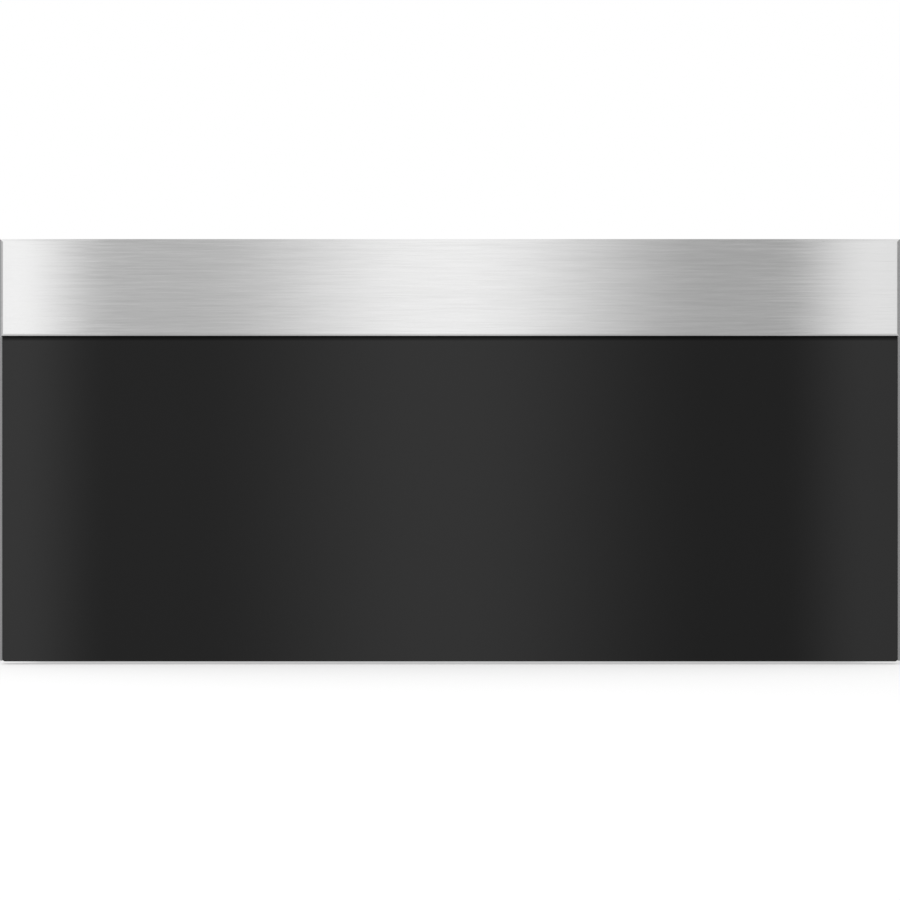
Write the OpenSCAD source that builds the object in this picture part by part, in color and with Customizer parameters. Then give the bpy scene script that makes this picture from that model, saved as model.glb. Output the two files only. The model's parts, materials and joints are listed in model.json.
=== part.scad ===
// Built-in warming drawer with a handleless front: press the front and the drawer springs open.
// Millimetres. +Z up, +X to the right as seen from the front, the front faces -Y.
// The origin is the middle of the footprint, on the surface that the feet stand on.
// Every sheet-metal panel, insulation slab, runner member and fitting is a solid of its own.

/* [Front] */
// Width of the whole front
front_w = 595; // [580:1:620]
// Height of the whole front
front_h = 279.1; // [276:0.1:300]
// Depth of the front, from the steel band's face to its rear plane
front_d = 22; // [20:0.5:28]
// Height of the front's lower edge above the surface
front_bottom = 2; // [1:0.5:3]
// Height of the stainless band along the top
band_h = 64.4; // [50:0.1:80]
// Thickness of the band's sheet
band_sheet = 1; // [0.8:0.1:1.2]
// How far the band's face stands in front of the glass
band_proud = 1.2; // [0.6:0.1:2]
// Outer radius of the band's bends along its top and foot
band_r = 1.9; // [1.5:0.1:2.5]
// Outer radius of the band's bends at its ends
band_end_r = 2.3; // [1.5:0.1:3]
// Seam between the band and the glass
band_seam = 0.8; // [0.4:0.1:1.5]
// Thickness of the glass pane
glass_t = 4; // [3:0.5:5]
// Corner radius at the foot of the glass
glass_r = 2; // [1:0.5:4]
// Thickness of the metal edge strip on each side of the glass
trim_t = 1.7; // [1.1:0.1:1.8]
// Thickness of the carrier pan's sheet behind the glass
carrier_sheet = 1.2; // [0.8:0.1:1.5]
// Width of the carrier pan's inward rear lips
carrier_lip = 12; // [10:1:14]

/* [Casing] */
// How far the front reaches past the casing on each side
side_overlap = 19.5; // [17:0.5:24]
// How far the front reaches above the casing
top_overlap = 5.1; // [4:0.1:12]
// Depth of the casing, from the frame's face to the back panel's outer face
casing_d = 537; // [530:1:550]
// Thickness of the casing's and the liner's sheet
sheet = 1.2; // [1:0.1:1.5]
// Width of the flanges at the edges of the casing's panels
flange = 11; // [10:0.5:11]
// Height of the feet
foot_h = 4; // [3:0.5:6]
// Radius of the feet
foot_r = 12; // [9:0.5:15]
// Distance of the feet from the casing's edges
foot_inset = 34; // [30:1:50]
// Width of the front frame's upright members
frame_side = 16; // [15:0.5:18]
// Height of the front frame's lower member
frame_foot = 14; // [13:0.5:15]
// Height of the front frame's upper member
frame_head = 27; // [24:0.5:30]
// Depth of the bay between the air baffle and the back panel
rear_bay = 71; // [69:0.5:76]
// Length of the rear wall spacers
spacer_l = 6; // [5:0.5:10]
// Height of the side fixing holes above the casing's base
fixing_low = 46; // [30:1:60]
// Distance between the two fixing holes of a side
fixing_pitch = 160; // [120:1:180]
// Radius of the side fixing holes
fixing_r = 2.4; // [2:0.1:3]
// Distance of the fixing holes behind the frame's face
fixing_back = 20; // [17:1:28]

/* [Drawer] */
// Gap between the front and the frame at rest
press_gap = 5; // [4.6:0.1:7]
// Travel of the front when it is pressed to open
press_in = 3; // [2:0.1:3]
// Thickness of the drawer's sheet
drawer_sheet = 1; // [0.8:0.1:1.2]
// Depth of the hollow step on the front's rear side, which holds the controls
plug_d = 38; // [36:0.5:44]
// Height of the sealing lip round that step
seal_h = 5.5; // [5:0.1:6]
// Width of the sealing lip
seal_w = 8; // [7:0.5:9]
// Running gap between the lip and the frame's mouth
seal_gap = 0.5; // [0.4:0.1:0.8]
// Free height between the drawer's sides and the mouth's upper edge
side_drop = 33; // [20:1:50]
// Height of the drawer's rear wall
tail_h = 126; // [100:1:140]
// Free depth between the drawer's rear wall and the baffle
tail_gap = 16; // [14:0.5:24]
// Width of the rim that the sides turn outwards at the top
rim_w = 10.5; // [9:0.5:11]
// Thickness of the anti-slip mat
mat_t = 2.2; // [1.8:0.1:3]
// Width of the wire rack
rack_w = 226; // [200:1:236]
// Free depth in front of and behind the wire rack
rack_end_gap = 17.4; // [8:0.1:30]
// Height of the wire rack's frame above the mat
rack_h = 104; // [80:1:120]
// Radius of the rack's frame wire
rack_wire_r = 2.2; // [1.8:0.1:3]
// Radius of the rack's cross wires
cross_wire_r = 1.4; // [1:0.1:1.8]
// Number of cross wires
cross_wires = 17; // [13:1:21]

/* [Controls] */
// Distance of the touch glass from each end of the front's hollow step
touch_end_gap = 21; // [14:1:50]
// Width of the touch glass
touch_w = 24; // [20:0.5:25]
// Thickness of the touch glass
touch_t = 3; // [2:0.5:4]
// Depth of the control tray
tray_h = 20; // [18:0.5:24]
// Wall of the control tray
tray_wall = 2; // [1.5:0.1:3]
// Thickness of the circuit boards
board_t = 1.6; // [1.2:0.1:2]

/* [Runners] */
// Free length behind the runners when the front is pressed in
run_clear = 0.8; // [0.6:0.1:4]
// Height of the fixed member
run_h = 45; // [44:0.5:48]
// Thickness of a runner from liner to drawer
run_t = 12.7; // [12.6:0.1:13.4]
// Height of the runners' centre above the drawer's floor
run_up = 36; // [32:1:60]
// Radius of the outer balls
ball_r = 2.5; // [2.2:0.1:2.6]
// Radius of the inner balls
small_ball_r = 2; // [1.8:0.1:2.1]
// Number of balls in a row
balls = 9; // [6:1:10]
// Running gap round the balls
ball_gap = 0.12; // [0.08:0.01:0.15]

/* [Fan] */
// Outer radius of the fan wheel
fan_r = 55; // [48:1:60]
// Depth of the fan wheel
fan_d = 20; // [16:0.5:22]
// Number of blades
blades = 24; // [18:1:30]
// Radius of the motor's shaft
shaft_r = 2; // [1.8:0.1:2.5]
// Radius of the rotor
rotor_r = 12; // [10:0.5:13]
// Radius of the heater ring
heater_r = 72; // [68:1:80]
// Radius of the heater's sheath
heater_rod_r = 3.2; // [2.8:0.1:3.6]
// Depth of the fan shroud
shroud_d = 32; // [31:0.5:34]
// Distance of the fan shroud from the liner's outer sides
shroud_side_gap = 48.2; // [40:0.1:60]
// Distance of the fan shroud from the mouth's lower and upper edge
shroud_edge_gap = 25.5; // [20:0.5:30]

/* [Latch] */
// Radius of the striker rod
striker_r = 3.5; // [3:0.1:4]
// Length of the striker rod behind the front
striker_l = 18; // [16:0.5:22]
// Length of the latch body
latch_l = 66; // [56:1:80]
// Width of the latch body
latch_w = 30; // [24:1:40]
// Wire radius of the ejector spring
spring_wire_r = 0.5; // [0.4:0.05:0.6]
// Number of turns of the ejector spring
spring_turns = 14; // [10:1:16]

/* [Hidden] */
$fn = 48;

// Clearances
fit = 0.1;        // round a screw, a peg or a bush in its hole
running = 0.05;   // round a turning shaft
slack = 0.3;      // beside a piece that is laid in a pocket
end_gap = 1;      // beside an insulation slab
cut = 1;          // how far a cutter runs past the face it cuts

// Depth: the front, the gap, the casing and the spacers share the middle of the footprint
y_face = -(front_d + press_gap + casing_d + spacer_l) / 2;
y_glass = y_face + band_proud;
y_glass_back = y_glass + glass_t;
y_front_rear = y_face + front_d;
y_plate = y_front_rear - drawer_sheet;
y_frame = y_front_rear + press_gap;
y_in = y_frame + sheet;
y_back = y_frame + casing_d;
y_back_in = y_back - sheet;
y_baffle = y_back_in - rear_bay;
y_bay = y_baffle + sheet;
y_plug = y_front_rear + plug_d;
y_tail = y_baffle - tail_gap;

// Height
z_case = foot_h;
z_floor = z_case + sheet;
z_front_top = front_bottom + front_h;
z_case_top = z_front_top - top_overlap;
z_roof = z_case_top - sheet;
z_band = z_front_top - band_h;
z_mouth = z_case + frame_foot;
z_mouth_top = z_case_top - frame_head;
z_plug = z_mouth + seal_h + seal_gap;
z_plug_top = z_mouth_top - seal_h - seal_gap;
z_tray = z_plug + drawer_sheet;
z_mat_top = z_tray + mat_t;
z_rack = z_mat_top + rack_h;
z_run = z_plug + run_up;
z_latch = z_case + frame_foot / 2;

// Width
x_front = front_w / 2;
x_pane = x_front - trim_t;
x_case = x_front - side_overlap;
x_in = x_case - sheet;
x_mouth = x_case - frame_side;
x_liner = x_mouth + sheet;
x_drawer = x_mouth - run_t;
x_plug = x_mouth - seal_h - seal_gap;

// Three stations between a and b, of which the outer ones keep an inset from the ends
function spread(a, b, inset) = [a + inset, (a + b) / 2, b - inset];

// Turned-up edges stop this far short of the next panel's flange
corner_relief = flange + 2;

// Screws, shared by every sheet joint
screw_r = 1.95;
screw_socket_r = 1.6;
screw_socket_d = 0.8;
screw_head_r = 3.6;
screw_head_h = 1.4;
screw_l = 3;
screw_ys = spread(y_frame, y_back, 60);
back_screw_zs = spread(z_case, z_case_top, 36);
frame_screw_zs = spread(z_case, z_case_top, 56);
plate_screw_zs = spread(front_bottom, z_front_top, 38);
y_fixing = y_frame + fixing_back;
fixing_zs = [z_case + fixing_low, z_case + fixing_low + fixing_pitch];
back_screw_x = x_case - 128;

// Fan and motor
fan_lift = 1.5;
z_fan = (z_mouth + z_mouth_top) / 2 + fan_lift;
y_wheel = y_bay + 6;
y_shroud_back = y_bay + shroud_d;
shroud_w = 2 * (x_liner - shroud_side_gap);
shroud_h = z_mouth_top - z_mouth - 2 * shroud_edge_gap;
shroud_sheet = 1;
shroud_flange = 12;
bridge_t = 1.5;
stator_y = y_shroud_back + bridge_t + 5;
stator_d = 20;
stator_rear = stator_y + stator_d;
bearing_r = 5;
bearing_l = 4;
bridge_drop = 10;
stator_w = 60;
stator_top = 24;
stator_foot = 50;
core_bar = 12;
window_w = 38;
window_h = 18;
air_gap = 0.5;
coil_wall = 6;
coil_front_wall = 4;
coil_end_gap = 1;
coil_gap = 0.2;
heater_opening = 40;
heater_y = y_wheel + fan_d / 2;

// Travel, and where the ball cages sit so that they stay between their rails
y_run = y_plug + 8;
run_l = y_baffle - press_in - run_clear - y_run;
travel = run_l;
cage_margin = 10;
cage_l = run_l - travel / 2 - 2 * cage_margin;
y_cage = y_run + travel / 4 + cage_margin;

// Runner section: u runs from the liner to the drawer, v up from the runner's centre
web_t = 1.5;
rail_flange_t = 2;
groove = 0.5;
outer_ball_u = 6;
outer_ball_v = run_h / 2 - rail_flange_t + groove - ball_gap - ball_r;
mid_top_v = outer_ball_v - ball_r - ball_gap + groove;
mid_flange_t = 2.5;
inner_ball_u = 8.2;
inner_ball_v = mid_top_v - mid_flange_t + groove - ball_gap - small_ball_r;
in_top_v = inner_ball_v - small_ball_r - ball_gap + groove;
mid_web_u = 2.6;
outer_reach = 4.4;
mid_reach = 2.4;
in_reach = 2.6;
cage_reach = 0.6;
cage_t = 0.5;
cage_plate_t = 0.8;

// Latch
latch_bore_r = striker_r + 0.7;
latch_roof = z_mouth - slack;
latch_stop = 12;
plunger_r = latch_bore_r - slack;
plunger_y = y_front_rear + striker_l + press_in + slack;
plunger_l = 6;
plunger_stem = 10;
spring_r = plunger_r - spring_wire_r;
spring_y = plunger_y + plunger_l;
spring_end = y_in + latch_l - latch_stop;
spring_sides = 6;
spring_rings = 8;

// ---------------------------------------------------------------- shared shapes

// A block between two corners
module block(x0, x1, y0, y1, z0, z1) {
    translate([x0, y0, z0]) cube([x1 - x0, y1 - y0, z1 - z0]);
}

// A rod along X, Y or Z between two stations
module rod_x(r, x0, x1, y, z) {
    translate([x0, y, z]) rotate([0, 90, 0]) cylinder(r = r, h = x1 - x0);
}

module rod_y(r, y0, y1, x, z) {
    translate([x, y0, z]) rotate([-90, 0, 0]) cylinder(r = r, h = y1 - y0);
}

module rod_z(r, z0, z1, x, y) {
    translate([x, y, z0]) cylinder(r = r, h = z1 - z0);
}

// The same shape on both sides of the middle plane
module both_sides() {
    children();
    mirror([1, 0, 0]) children();
}

// A flat outline with round corners of radius r, centred
module round_outline(w, h, r) {
    square([w - 2 * r, h], center = true);
    square([w, h - 2 * r], center = true);
    for (sx = [-1, 1], sy = [-1, 1]) {
        translate([sx * (w / 2 - r), sy * (h / 2 - r)]) circle(r = r);
    }
}

// A plate with round corners that lies flat, from z0 to z1
module round_plate(w, d, r, z0, z1, x = 0, y = 0) {
    translate([x, y, z0]) linear_extrude(z1 - z0) round_outline(w, d, r);
}

// A screw whose head lies on the plane at 0 and whose shank runs into -Z
module screw(l = screw_l) {
    difference() {
        cylinder(r = screw_head_r, h = screw_head_h);
        translate([0, 0, screw_head_h - screw_socket_d]) cylinder(r = screw_socket_r, h = cut, $fn = 6);
    }
    translate([0, 0, -l]) cylinder(r = screw_r, h = l);
}

// The hole that such a screw passes through
module screw_hole(depth) {
    translate([0, 0, -depth]) cylinder(r = screw_r + fit, h = 2 * depth);
}

// Where the casing's screws are: each child is placed head outwards
module at_top_side_screws() {
    for (y = screw_ys) {
        both_sides() translate([x_case, y, z_roof - flange / 2]) rotate([0, 90, 0]) children();
    }
}

module at_base_side_screws() {
    for (y = screw_ys) {
        both_sides() translate([x_case, y, z_floor + flange / 2]) rotate([0, 90, 0]) children();
    }
}

module at_back_side_screws() {
    for (z = back_screw_zs) {
        both_sides() translate([x_in - flange / 2, y_back, z]) rotate([-90, 0, 0]) children();
    }
}

module at_back_edge_screws() {
    for (z = [z_floor + flange / 2, z_roof - flange / 2]) {
        both_sides() translate([back_screw_x, y_back, z]) rotate([-90, 0, 0]) children();
    }
}

module at_frame_screws() {
    for (z = frame_screw_zs) {
        both_sides() translate([x_in - flange / 2, y_frame, z]) rotate([90, 0, 0]) children();
    }
}

// ---------------------------------------------------------------- casing

bead_r = 5;
bead_rise = 2;
bead_clear = 30;
bead_xs = [-200, -110, 110, 200];

// A long stiffening bead pressed up from the base: the cap of a round bar. The inset one is its hollow
module bead(x, inset, below) {
    centre_z = z_floor + bead_rise - bead_r;
    intersection() {
        rod_y(bead_r - inset, y_in + latch_l + inset, y_baffle - bead_clear - inset, x, centre_z);
        block(x - bead_r, x + bead_r, y_in, y_baffle, z_case - below, z_floor + bead_rise);
    }
}

// Flanges along the sides and the rear edge of the base or the top
module panel_flanges(z0, z1) {
    both_sides() block(x_in - sheet, x_in, y_in + corner_relief, y_back_in - corner_relief, z0, z1);
    block(corner_relief - x_in, x_in - corner_relief, y_back_in - sheet, y_back_in, z0, z1);
}

module foot_places() {
    for (x = [-1, 1], y = [y_in + foot_inset, y_back_in - foot_inset]) {
        translate([x * (x_case - foot_inset), y, z_case]) children();
    }
}

foot_peg_r = 3;
foot_button_r = 4.5;
foot_button_h = 1.5;
foot_chamfer = 1;

// Bottom panel, with flanges turned up inside the sides and the back
module casing_base() {
    color("gainsboro") difference() {
        union() {
            block(-x_case, x_case, y_in, y_back_in, z_case, z_floor);
            panel_flanges(z_floor, z_floor + flange);
            for (x = bead_xs) bead(x, 0, 0);
        }
        for (x = bead_xs) bead(x, sheet, cut);
        foot_places() translate([0, 0, -cut]) cylinder(r = foot_peg_r + fit, h = sheet + 2 * cut);
        at_base_side_screws() screw_hole(2 * sheet + cut);
        at_back_edge_screws() screw_hole(2 * sheet + cut);
        latch_screw_places() cylinder(r = screw_r + fit, h = 4 * sheet, center = true);
    }
}

vent_w = 4;
vent_h = 46;
vent_pitch = 9;
side_vents_n = 5;

// Upright ventilation slots beside the rear bay
module side_vents() {
    for (i = [0:side_vents_n - 1]) {
        y = y_bay + rear_bay / 2 + (i - (side_vents_n - 1) / 2) * vent_pitch;
        translate([x_case, y, z_fan]) cube([4 * sheet, vent_w, vent_h], center = true);
    }
}

// Side panel, with flanges for the frame and the back panel
module casing_side() {
    color("gainsboro") difference() {
        union() {
            block(x_in, x_case, y_in, y_back_in, z_floor, z_roof);
            for (y = [y_in, y_back_in - sheet]) {
                block(x_in - flange, x_in, y, y + sheet, z_floor + corner_relief, z_roof - corner_relief);
            }
        }
        side_vents();
        at_top_side_screws() screw_hole(sheet + cut);
        at_base_side_screws() screw_hole(sheet + cut);
        at_frame_screws() screw_hole(2 * sheet + cut);
        at_back_side_screws() screw_hole(2 * sheet + cut);
        for (z = fixing_zs) rod_x(fixing_r, x_in - cut, x_case + cut, y_fixing, z);
    }
}

module casing_side_left() mirror([1, 0, 0]) casing_side();
module casing_side_right() casing_side();

// Top panel, with flanges turned down inside the sides and the back
module casing_top() {
    color("gainsboro") difference() {
        union() {
            block(-x_case, x_case, y_in, y_back_in, z_roof, z_case_top);
            panel_flanges(z_roof - flange, z_roof);
        }
        top_vents();
        at_top_side_screws() screw_hole(2 * sheet + cut);
        at_back_edge_screws() screw_hole(2 * sheet + cut);
    }
}

top_vents_n = 12;
top_vent_l = 34;

// Rows of slots over the rear bay
module top_vents() {
    for (i = [0:top_vents_n - 1], s = [-1, 1]) {
        x = s * (power_x + (i - (top_vents_n - 1) / 2) * vent_pitch);
        translate([x, y_bay + rear_bay / 2, z_case_top]) cube([vent_w, top_vent_l, 4 * sheet], center = true);
    }
}

gland_side = 73;
gland_x = gland_side - x_case;
gland_z = z_case + 42;
gland_r = 8;
gland_bore_r = 4.2;
gland_flange_r = 11.5;
gland_out = 4.5;
gland_in = 15;
gland_lip = 2.5;
gland_nut = 5;
back_vent_l = 74;
back_vents = 7;
power_side = 146;
power_x = x_case - power_side;
back_vent_x = power_x - 12;

// Back panel: two fields of slots and the hole for the mains inlet bush
module casing_back() {
    color("gainsboro") difference() {
        block(-x_case, x_case, y_back_in, y_back, z_case, z_case_top);
        at_back_side_screws() screw_hole(sheet + cut);
        at_back_edge_screws() screw_hole(sheet + cut);
        rod_y(gland_r + fit, y_back_in - cut, y_back + cut, gland_x, gland_z);
        both_sides() back_vent_field();
    }
}

// One field of level slots in the back panel, wide enough in depth to pass through what lies on it
module back_vent_field() {
    for (i = [0:back_vents - 1]) {
        z = z_fan + (i - (back_vents - 1) / 2) * vent_pitch;
        translate([back_vent_x, y_back_in, z]) cube([back_vent_l, 6 * sheet, vent_w], center = true);
    }
}

spacer_r = 9;
spacer_inset = 33;

// Two plastic spacers that keep the casing off the wall
module rear_spacers() {
    color("dimgray") both_sides() {
        rod_y(spacer_r, y_back, y_back + spacer_l, x_case - spacer_inset, z_case_top - spacer_inset);
    }
}

latch_hole_r = striker_r + 1.2;
buffer_r = 5;
buffer_peg_r = 1.8;
buffer_inset = 12;
buffer_gap = 0.2;

module buffer_places() {
    for (x = [-1, 1], z = [z_mouth + buffer_inset, z_mouth_top - buffer_inset]) {
        translate([x * (x_mouth + frame_side / 2), y_frame, z]) rotate([90, 0, 0]) children();
    }
}

// Stainless frame on the casing's front: the mouth, and the hole that the striker passes through
module front_frame() {
    color("silver") difference() {
        block(-x_case, x_case, y_frame, y_in, z_case, z_case_top);
        block(-x_mouth, x_mouth, y_frame - cut, y_in + cut, z_mouth, z_mouth_top);
        rod_y(latch_hole_r, y_frame - cut, y_in + cut, 0, z_latch);
        at_frame_screws() screw_hole(sheet + cut);
        buffer_places() cylinder(r = buffer_peg_r + fit, h = 4 * sheet, center = true);
    }
}

// Four rubber stops for the press travel, each with a peg through the frame
module front_buffers() {
    color("dimgray") buffer_places() {
        cylinder(r = buffer_r, h = press_gap - press_in - buffer_gap);
        translate([0, 0, -sheet]) cylinder(r = buffer_peg_r, h = sheet);
    }
}

// Four rubber feet, each with a peg and a button inside the base
module feet() {
    color("dimgray") foot_places() {
        translate([0, 0, -foot_h]) cylinder(r1 = foot_r - foot_chamfer, r2 = foot_r, h = foot_chamfer);
        translate([0, 0, foot_chamfer - foot_h]) cylinder(r = foot_r, h = foot_h - foot_chamfer);
        cylinder(r = foot_peg_r, h = sheet);
        translate([0, 0, sheet]) cylinder(r = foot_button_r, h = foot_button_h);
    }
}

// ---------------------------------------------------------------- liner and insulation

// A hole in line with each cabinet fixing, wide enough for the screw's head and the driver
driver_r = 5;
module driver_holes() {
    for (z = fixing_zs) rod_x(driver_r, x_mouth - cut, x_in - sheet, y_fixing, z);
}

// Liner wall that carries a runner
module liner_side() {
    color("lightgray") difference() {
        block(x_mouth, x_liner, y_in, y_baffle, z_floor, z_mouth_top);
        driver_holes();
    }
}

module liner_side_left() mirror([1, 0, 0]) liner_side();
module liner_side_right() liner_side();

// Liner roof, which lies on the two walls
module liner_top() {
    color("lightgray") block(-x_liner, x_liner, y_in, y_baffle, z_mouth_top, z_mouth_top + sheet);
}

// Outer side and front end of the slabs, clear of the flanges and of the screws' tips
x_slab = x_in - sheet - end_gap;
y_slab = y_in + sheet + end_gap;

// Mineral-fibre slab between the liner's roof and the top panel
module insulation_top() {
    color("khaki") block(-x_slab, x_slab, y_slab, y_baffle - end_gap, z_mouth_top + sheet, z_roof);
}

// Mineral-fibre slabs between the liner's walls and the sides
module insulation_sides() {
    color("khaki") both_sides() difference() {
        block(x_liner, x_slab, y_slab, y_baffle - end_gap, z_floor, z_mouth_top);
        driver_holes();
    }
}

// ---------------------------------------------------------------- air system behind the baffle

intake_r = 42;
intake_rings = 4;
intake_hole_r = 2.8;
outlet_l = 96;
outlet_w = 6;
outlets = 5;
outlet_pitch = 12;
outlet_x = 152;
shroud_screw_xs = [-(shroud_w + shroud_flange) / 2, (shroud_w + shroud_flange) / 2];

// Round field of intake holes, ring by ring
module intake_holes() {
    rod_y(intake_hole_r, y_baffle - cut, y_bay + cut, 0, z_fan);
    for (ring = [1:intake_rings], i = [0:6 * ring - 1]) {
        a = 360 / (6 * ring) * i;
        reach = intake_r * ring / intake_rings;
        rod_y(intake_hole_r, y_baffle - cut, y_bay + cut, reach * cos(a), z_fan + reach * sin(a));
    }
}

// Rear wall of the heated space: intake in the middle, warm-air outlets at the sides
module air_baffle() {
    color("silver") difference() {
        block(-x_liner, x_liner, y_baffle, y_bay, z_floor, z_mouth_top + sheet);
        intake_holes();
        for (i = [0:outlets - 1], s = [-1, 1]) {
            x = s * (outlet_x + i * outlet_pitch);
            translate([x, y_baffle, z_fan]) cube([outlet_w, 4 * sheet, outlet_l], center = true);
        }
        rod_y(sensor_r + fit, y_baffle - cut, y_bay + cut, sensor_x, sensor_z);
        shroud_screws_at() screw_hole(3 * sheet);
    }
}

// The angle of each end of the heater ring, from the ring's lowest point
heater_ends = [270 - heater_opening / 2, 270 + heater_opening / 2];

// Sheet-metal pan that guides the air from the wheel over the heater to the outlets
module fan_shroud() {
    w = shroud_w / 2;
    h = shroud_h / 2;
    rim = w + shroud_flange;
    color("lightgray") difference() {
        union() {
            block(-w, w, y_bay, y_shroud_back, z_fan - h, z_fan + h);
            block(-rim, rim, y_bay, y_bay + shroud_sheet, z_fan - h, z_fan + h);
        }
        block(-w + shroud_sheet, w - shroud_sheet, y_bay - cut, y_shroud_back - shroud_sheet,
              z_fan - h + shroud_sheet, z_fan + h - shroud_sheet);
        rod_y(2 * shaft_r, y_bay, y_shroud_back + cut, 0, z_fan);
        bracket_screws_at() screw_hole(2 * (shroud_sheet + bridge_t));
        for (a = heater_ends) {
            translate([heater_r * cos(a), y_shroud_back, z_fan + heater_r * sin(a)]) rotate([90, 0, 0])
                cylinder(r = heater_rod_r + 2 * fit, h = 4 * shroud_sheet, center = true);
        }
        shroud_screws_at() screw_hole(3 * sheet);
    }
}

module shroud_screws_at() {
    for (x = shroud_screw_xs, z = [-1, 1]) {
        translate([x, y_baffle, z_fan + z * shroud_h / 3]) rotate([90, 0, 0]) children();
    }
}

heater_stub = 8;
tab_w = 6.3;
tab_t = 0.8;
tab_l = 8;

// A flat push-on terminal that starts at y and points to the rear
module tab(x, y, z) {
    block(x - tab_t / 2, x + tab_t / 2, y - tab_t, y + tab_l, z - tab_w / 2, z + tab_w / 2);
}

// The wedge between the ring's two ends
module heater_mouth() {
    reach = 2 * heater_r;
    polygon([[0, 0], [reach * cos(heater_ends[0]), reach * sin(heater_ends[0])],
             [reach * cos(heater_ends[1]), reach * sin(heater_ends[1])]]);
}

// Sheathed heater: most of a ring round the wheel, and two ends that pass through the shroud
module heater_ring() {
    color("slategray") {
        translate([0, heater_y, z_fan]) rotate([90, 0, 0]) difference() {
            rotate_extrude() translate([heater_r, 0]) circle(r = heater_rod_r);
            translate([0, 0, -2 * heater_rod_r]) linear_extrude(4 * heater_rod_r) heater_mouth();
        }
        for (a = heater_ends) {
            x = heater_r * cos(a);
            z = z_fan + heater_r * sin(a);
            translate([x, heater_y, z]) sphere(r = heater_rod_r + bend_swell);
            rod_y(heater_rod_r, heater_y, y_shroud_back + heater_stub, x, z);
            tab(x, y_shroud_back + heater_stub, z);
        }
    }
}

// Radial wheel: a back disc with a hub, a ring of blades and a front ring
module fan_wheel() {
    rear = y_wheel + fan_d;
    color("silver") difference() {
        union() {
            rod_y(fan_r, rear - disc_t, rear, 0, z_fan);
            rod_y(hub_r, rear - hub_l, rear, 0, z_fan);
            difference() {
                rod_y(fan_r, y_wheel, y_wheel + disc_t, 0, z_fan);
                rod_y(fan_r - wheel_rim, y_wheel - cut, y_wheel + disc_t + cut, 0, z_fan);
            }
            for (i = [0:blades - 1]) {
                translate([0, y_wheel + disc_t / 2, z_fan]) rotate([0, 360 / blades * i, 0]) blade();
            }
        }
        rod_y(shaft_r + hub_grip, y_wheel - cut, rear + cut, 0, z_fan);
    }
}

hub_r = 7;
hub_l = 16;
hub_grip = 0.02;
disc_t = 1.2;
wheel_rim = 5;
blade_l = 13;
blade_t = 1;
blade_lean = 24;
blade_inset = 1;

// One blade at the right of the wheel, leaning against the turn
module blade() {
    translate([fan_r - blade_l - blade_inset, 0, 0]) rotate([0, blade_lean, 0]) {
        cube([blade_l, fan_d - disc_t, blade_t]);
    }
}

// Rotor and shaft of the shaded-pole motor, which carry the wheel
module motor_rotor() {
    color("gray") {
        rod_y(shaft_r, y_wheel + 2, stator_rear + bearing_l + 1, 0, z_fan);
        rod_y(rotor_r, stator_y + 1, stator_rear - 1, 0, z_fan);
    }
}

// Laminated core: the rotor's bore above, the window for the coil below
module motor_stator() {
    top = z_fan + stator_top;
    foot = z_fan - stator_foot;
    bar_top = foot + core_bar;
    y0 = stator_y - cut;
    y1 = stator_rear + cut;
    color("darkgray") difference() {
        block(-stator_w / 2, stator_w / 2, stator_y, stator_rear, foot, top);
        rod_y(rotor_r + air_gap, y0, y1, 0, z_fan);
        block(-window_w / 2, window_w / 2, y0, y1, bar_top, bar_top + window_h);
        stator_bolts_at() rod_y(bolt_r + fit, y0, y1, 0, 0);
    }
}

bolt_r = 1.5;
bolt_inset = 5;
standoff_r = 3.5;
nut_l = 2.5;
// Two screws through the front bridge's ears into the shroud
ear_reach = 38;
ear_w = 6;
module bracket_screws_at() {
    for (x = [-1, 1]) {
        translate([x * ear_reach, y_shroud_back + bridge_t, z_fan + 6]) rotate([-90, 0, 0]) children();
    }
}

module stator_bolts_at() {
    for (x = [-1, 1], z = [stator_top - bolt_inset, core_bar / 2 - stator_foot]) {
        translate([x * (stator_w / 2 - bolt_inset), 0, z_fan + z]) children();
    }
}

// Coil on the core's lower bar
module motor_coil() {
    bar_foot = z_fan - stator_foot;
    half = window_w / 2 - coil_end_gap;
    g = coil_gap;
    color("orange") difference() {
        block(-half, half, stator_y - coil_front_wall, stator_rear + coil_wall,
              bar_foot - coil_wall, bar_foot + core_bar + coil_wall);
        block(-half - cut, half + cut, stator_y - g, stator_rear + g, bar_foot - g, bar_foot + core_bar + g);
    }
}

// Front and rear bridges with the shaft's bearings, and the four bolts that hold the core between them
module motor_bracket() {
    half = stator_w / 2;
    ear = ear_reach + ear_w;
    front = y_shroud_back;
    foot = z_fan - stator_foot;
    top = z_fan + stator_top;
    color("silver") {
        difference() {
            union() {
                block(-ear, ear, front, front + bridge_t, z_fan - bridge_drop, top);
                block(-half, half, front, front + bridge_t, foot, top);
                stator_bolts_at() rod_y(standoff_r, front, stator_y, 0, 0);
                rod_y(bearing_r, front, front + bearing_l, 0, z_fan);
            }
            rod_y(shaft_r + running, front - cut, front + bearing_l + cut, 0, z_fan);
            bracket_screws_at() screw_hole(2 * bridge_t);
            block(-window_w / 2, window_w / 2, front - cut, stator_y, foot - cut, foot + core_bar + window_h);
        }
        difference() {
            union() {
                block(-half, half, stator_rear, stator_rear + bridge_t, z_fan - bridge_drop, top);
                rod_y(bearing_r, stator_rear, stator_rear + bearing_l, 0, z_fan);
            }
            rod_y(shaft_r + running, stator_rear - cut, stator_rear + bearing_l + cut, 0, z_fan);
        }
        stator_bolts_at() rod_y(bolt_r, stator_y - bridge_t, stator_rear + nut_l, 0, 0);
    }
}

cutout_x = -110;
cutout_up = 50;
cutout_r = 8;
cutout_l = 9;
cutout_flange_r = 11;
cutout_flange_t = 1;

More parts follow.
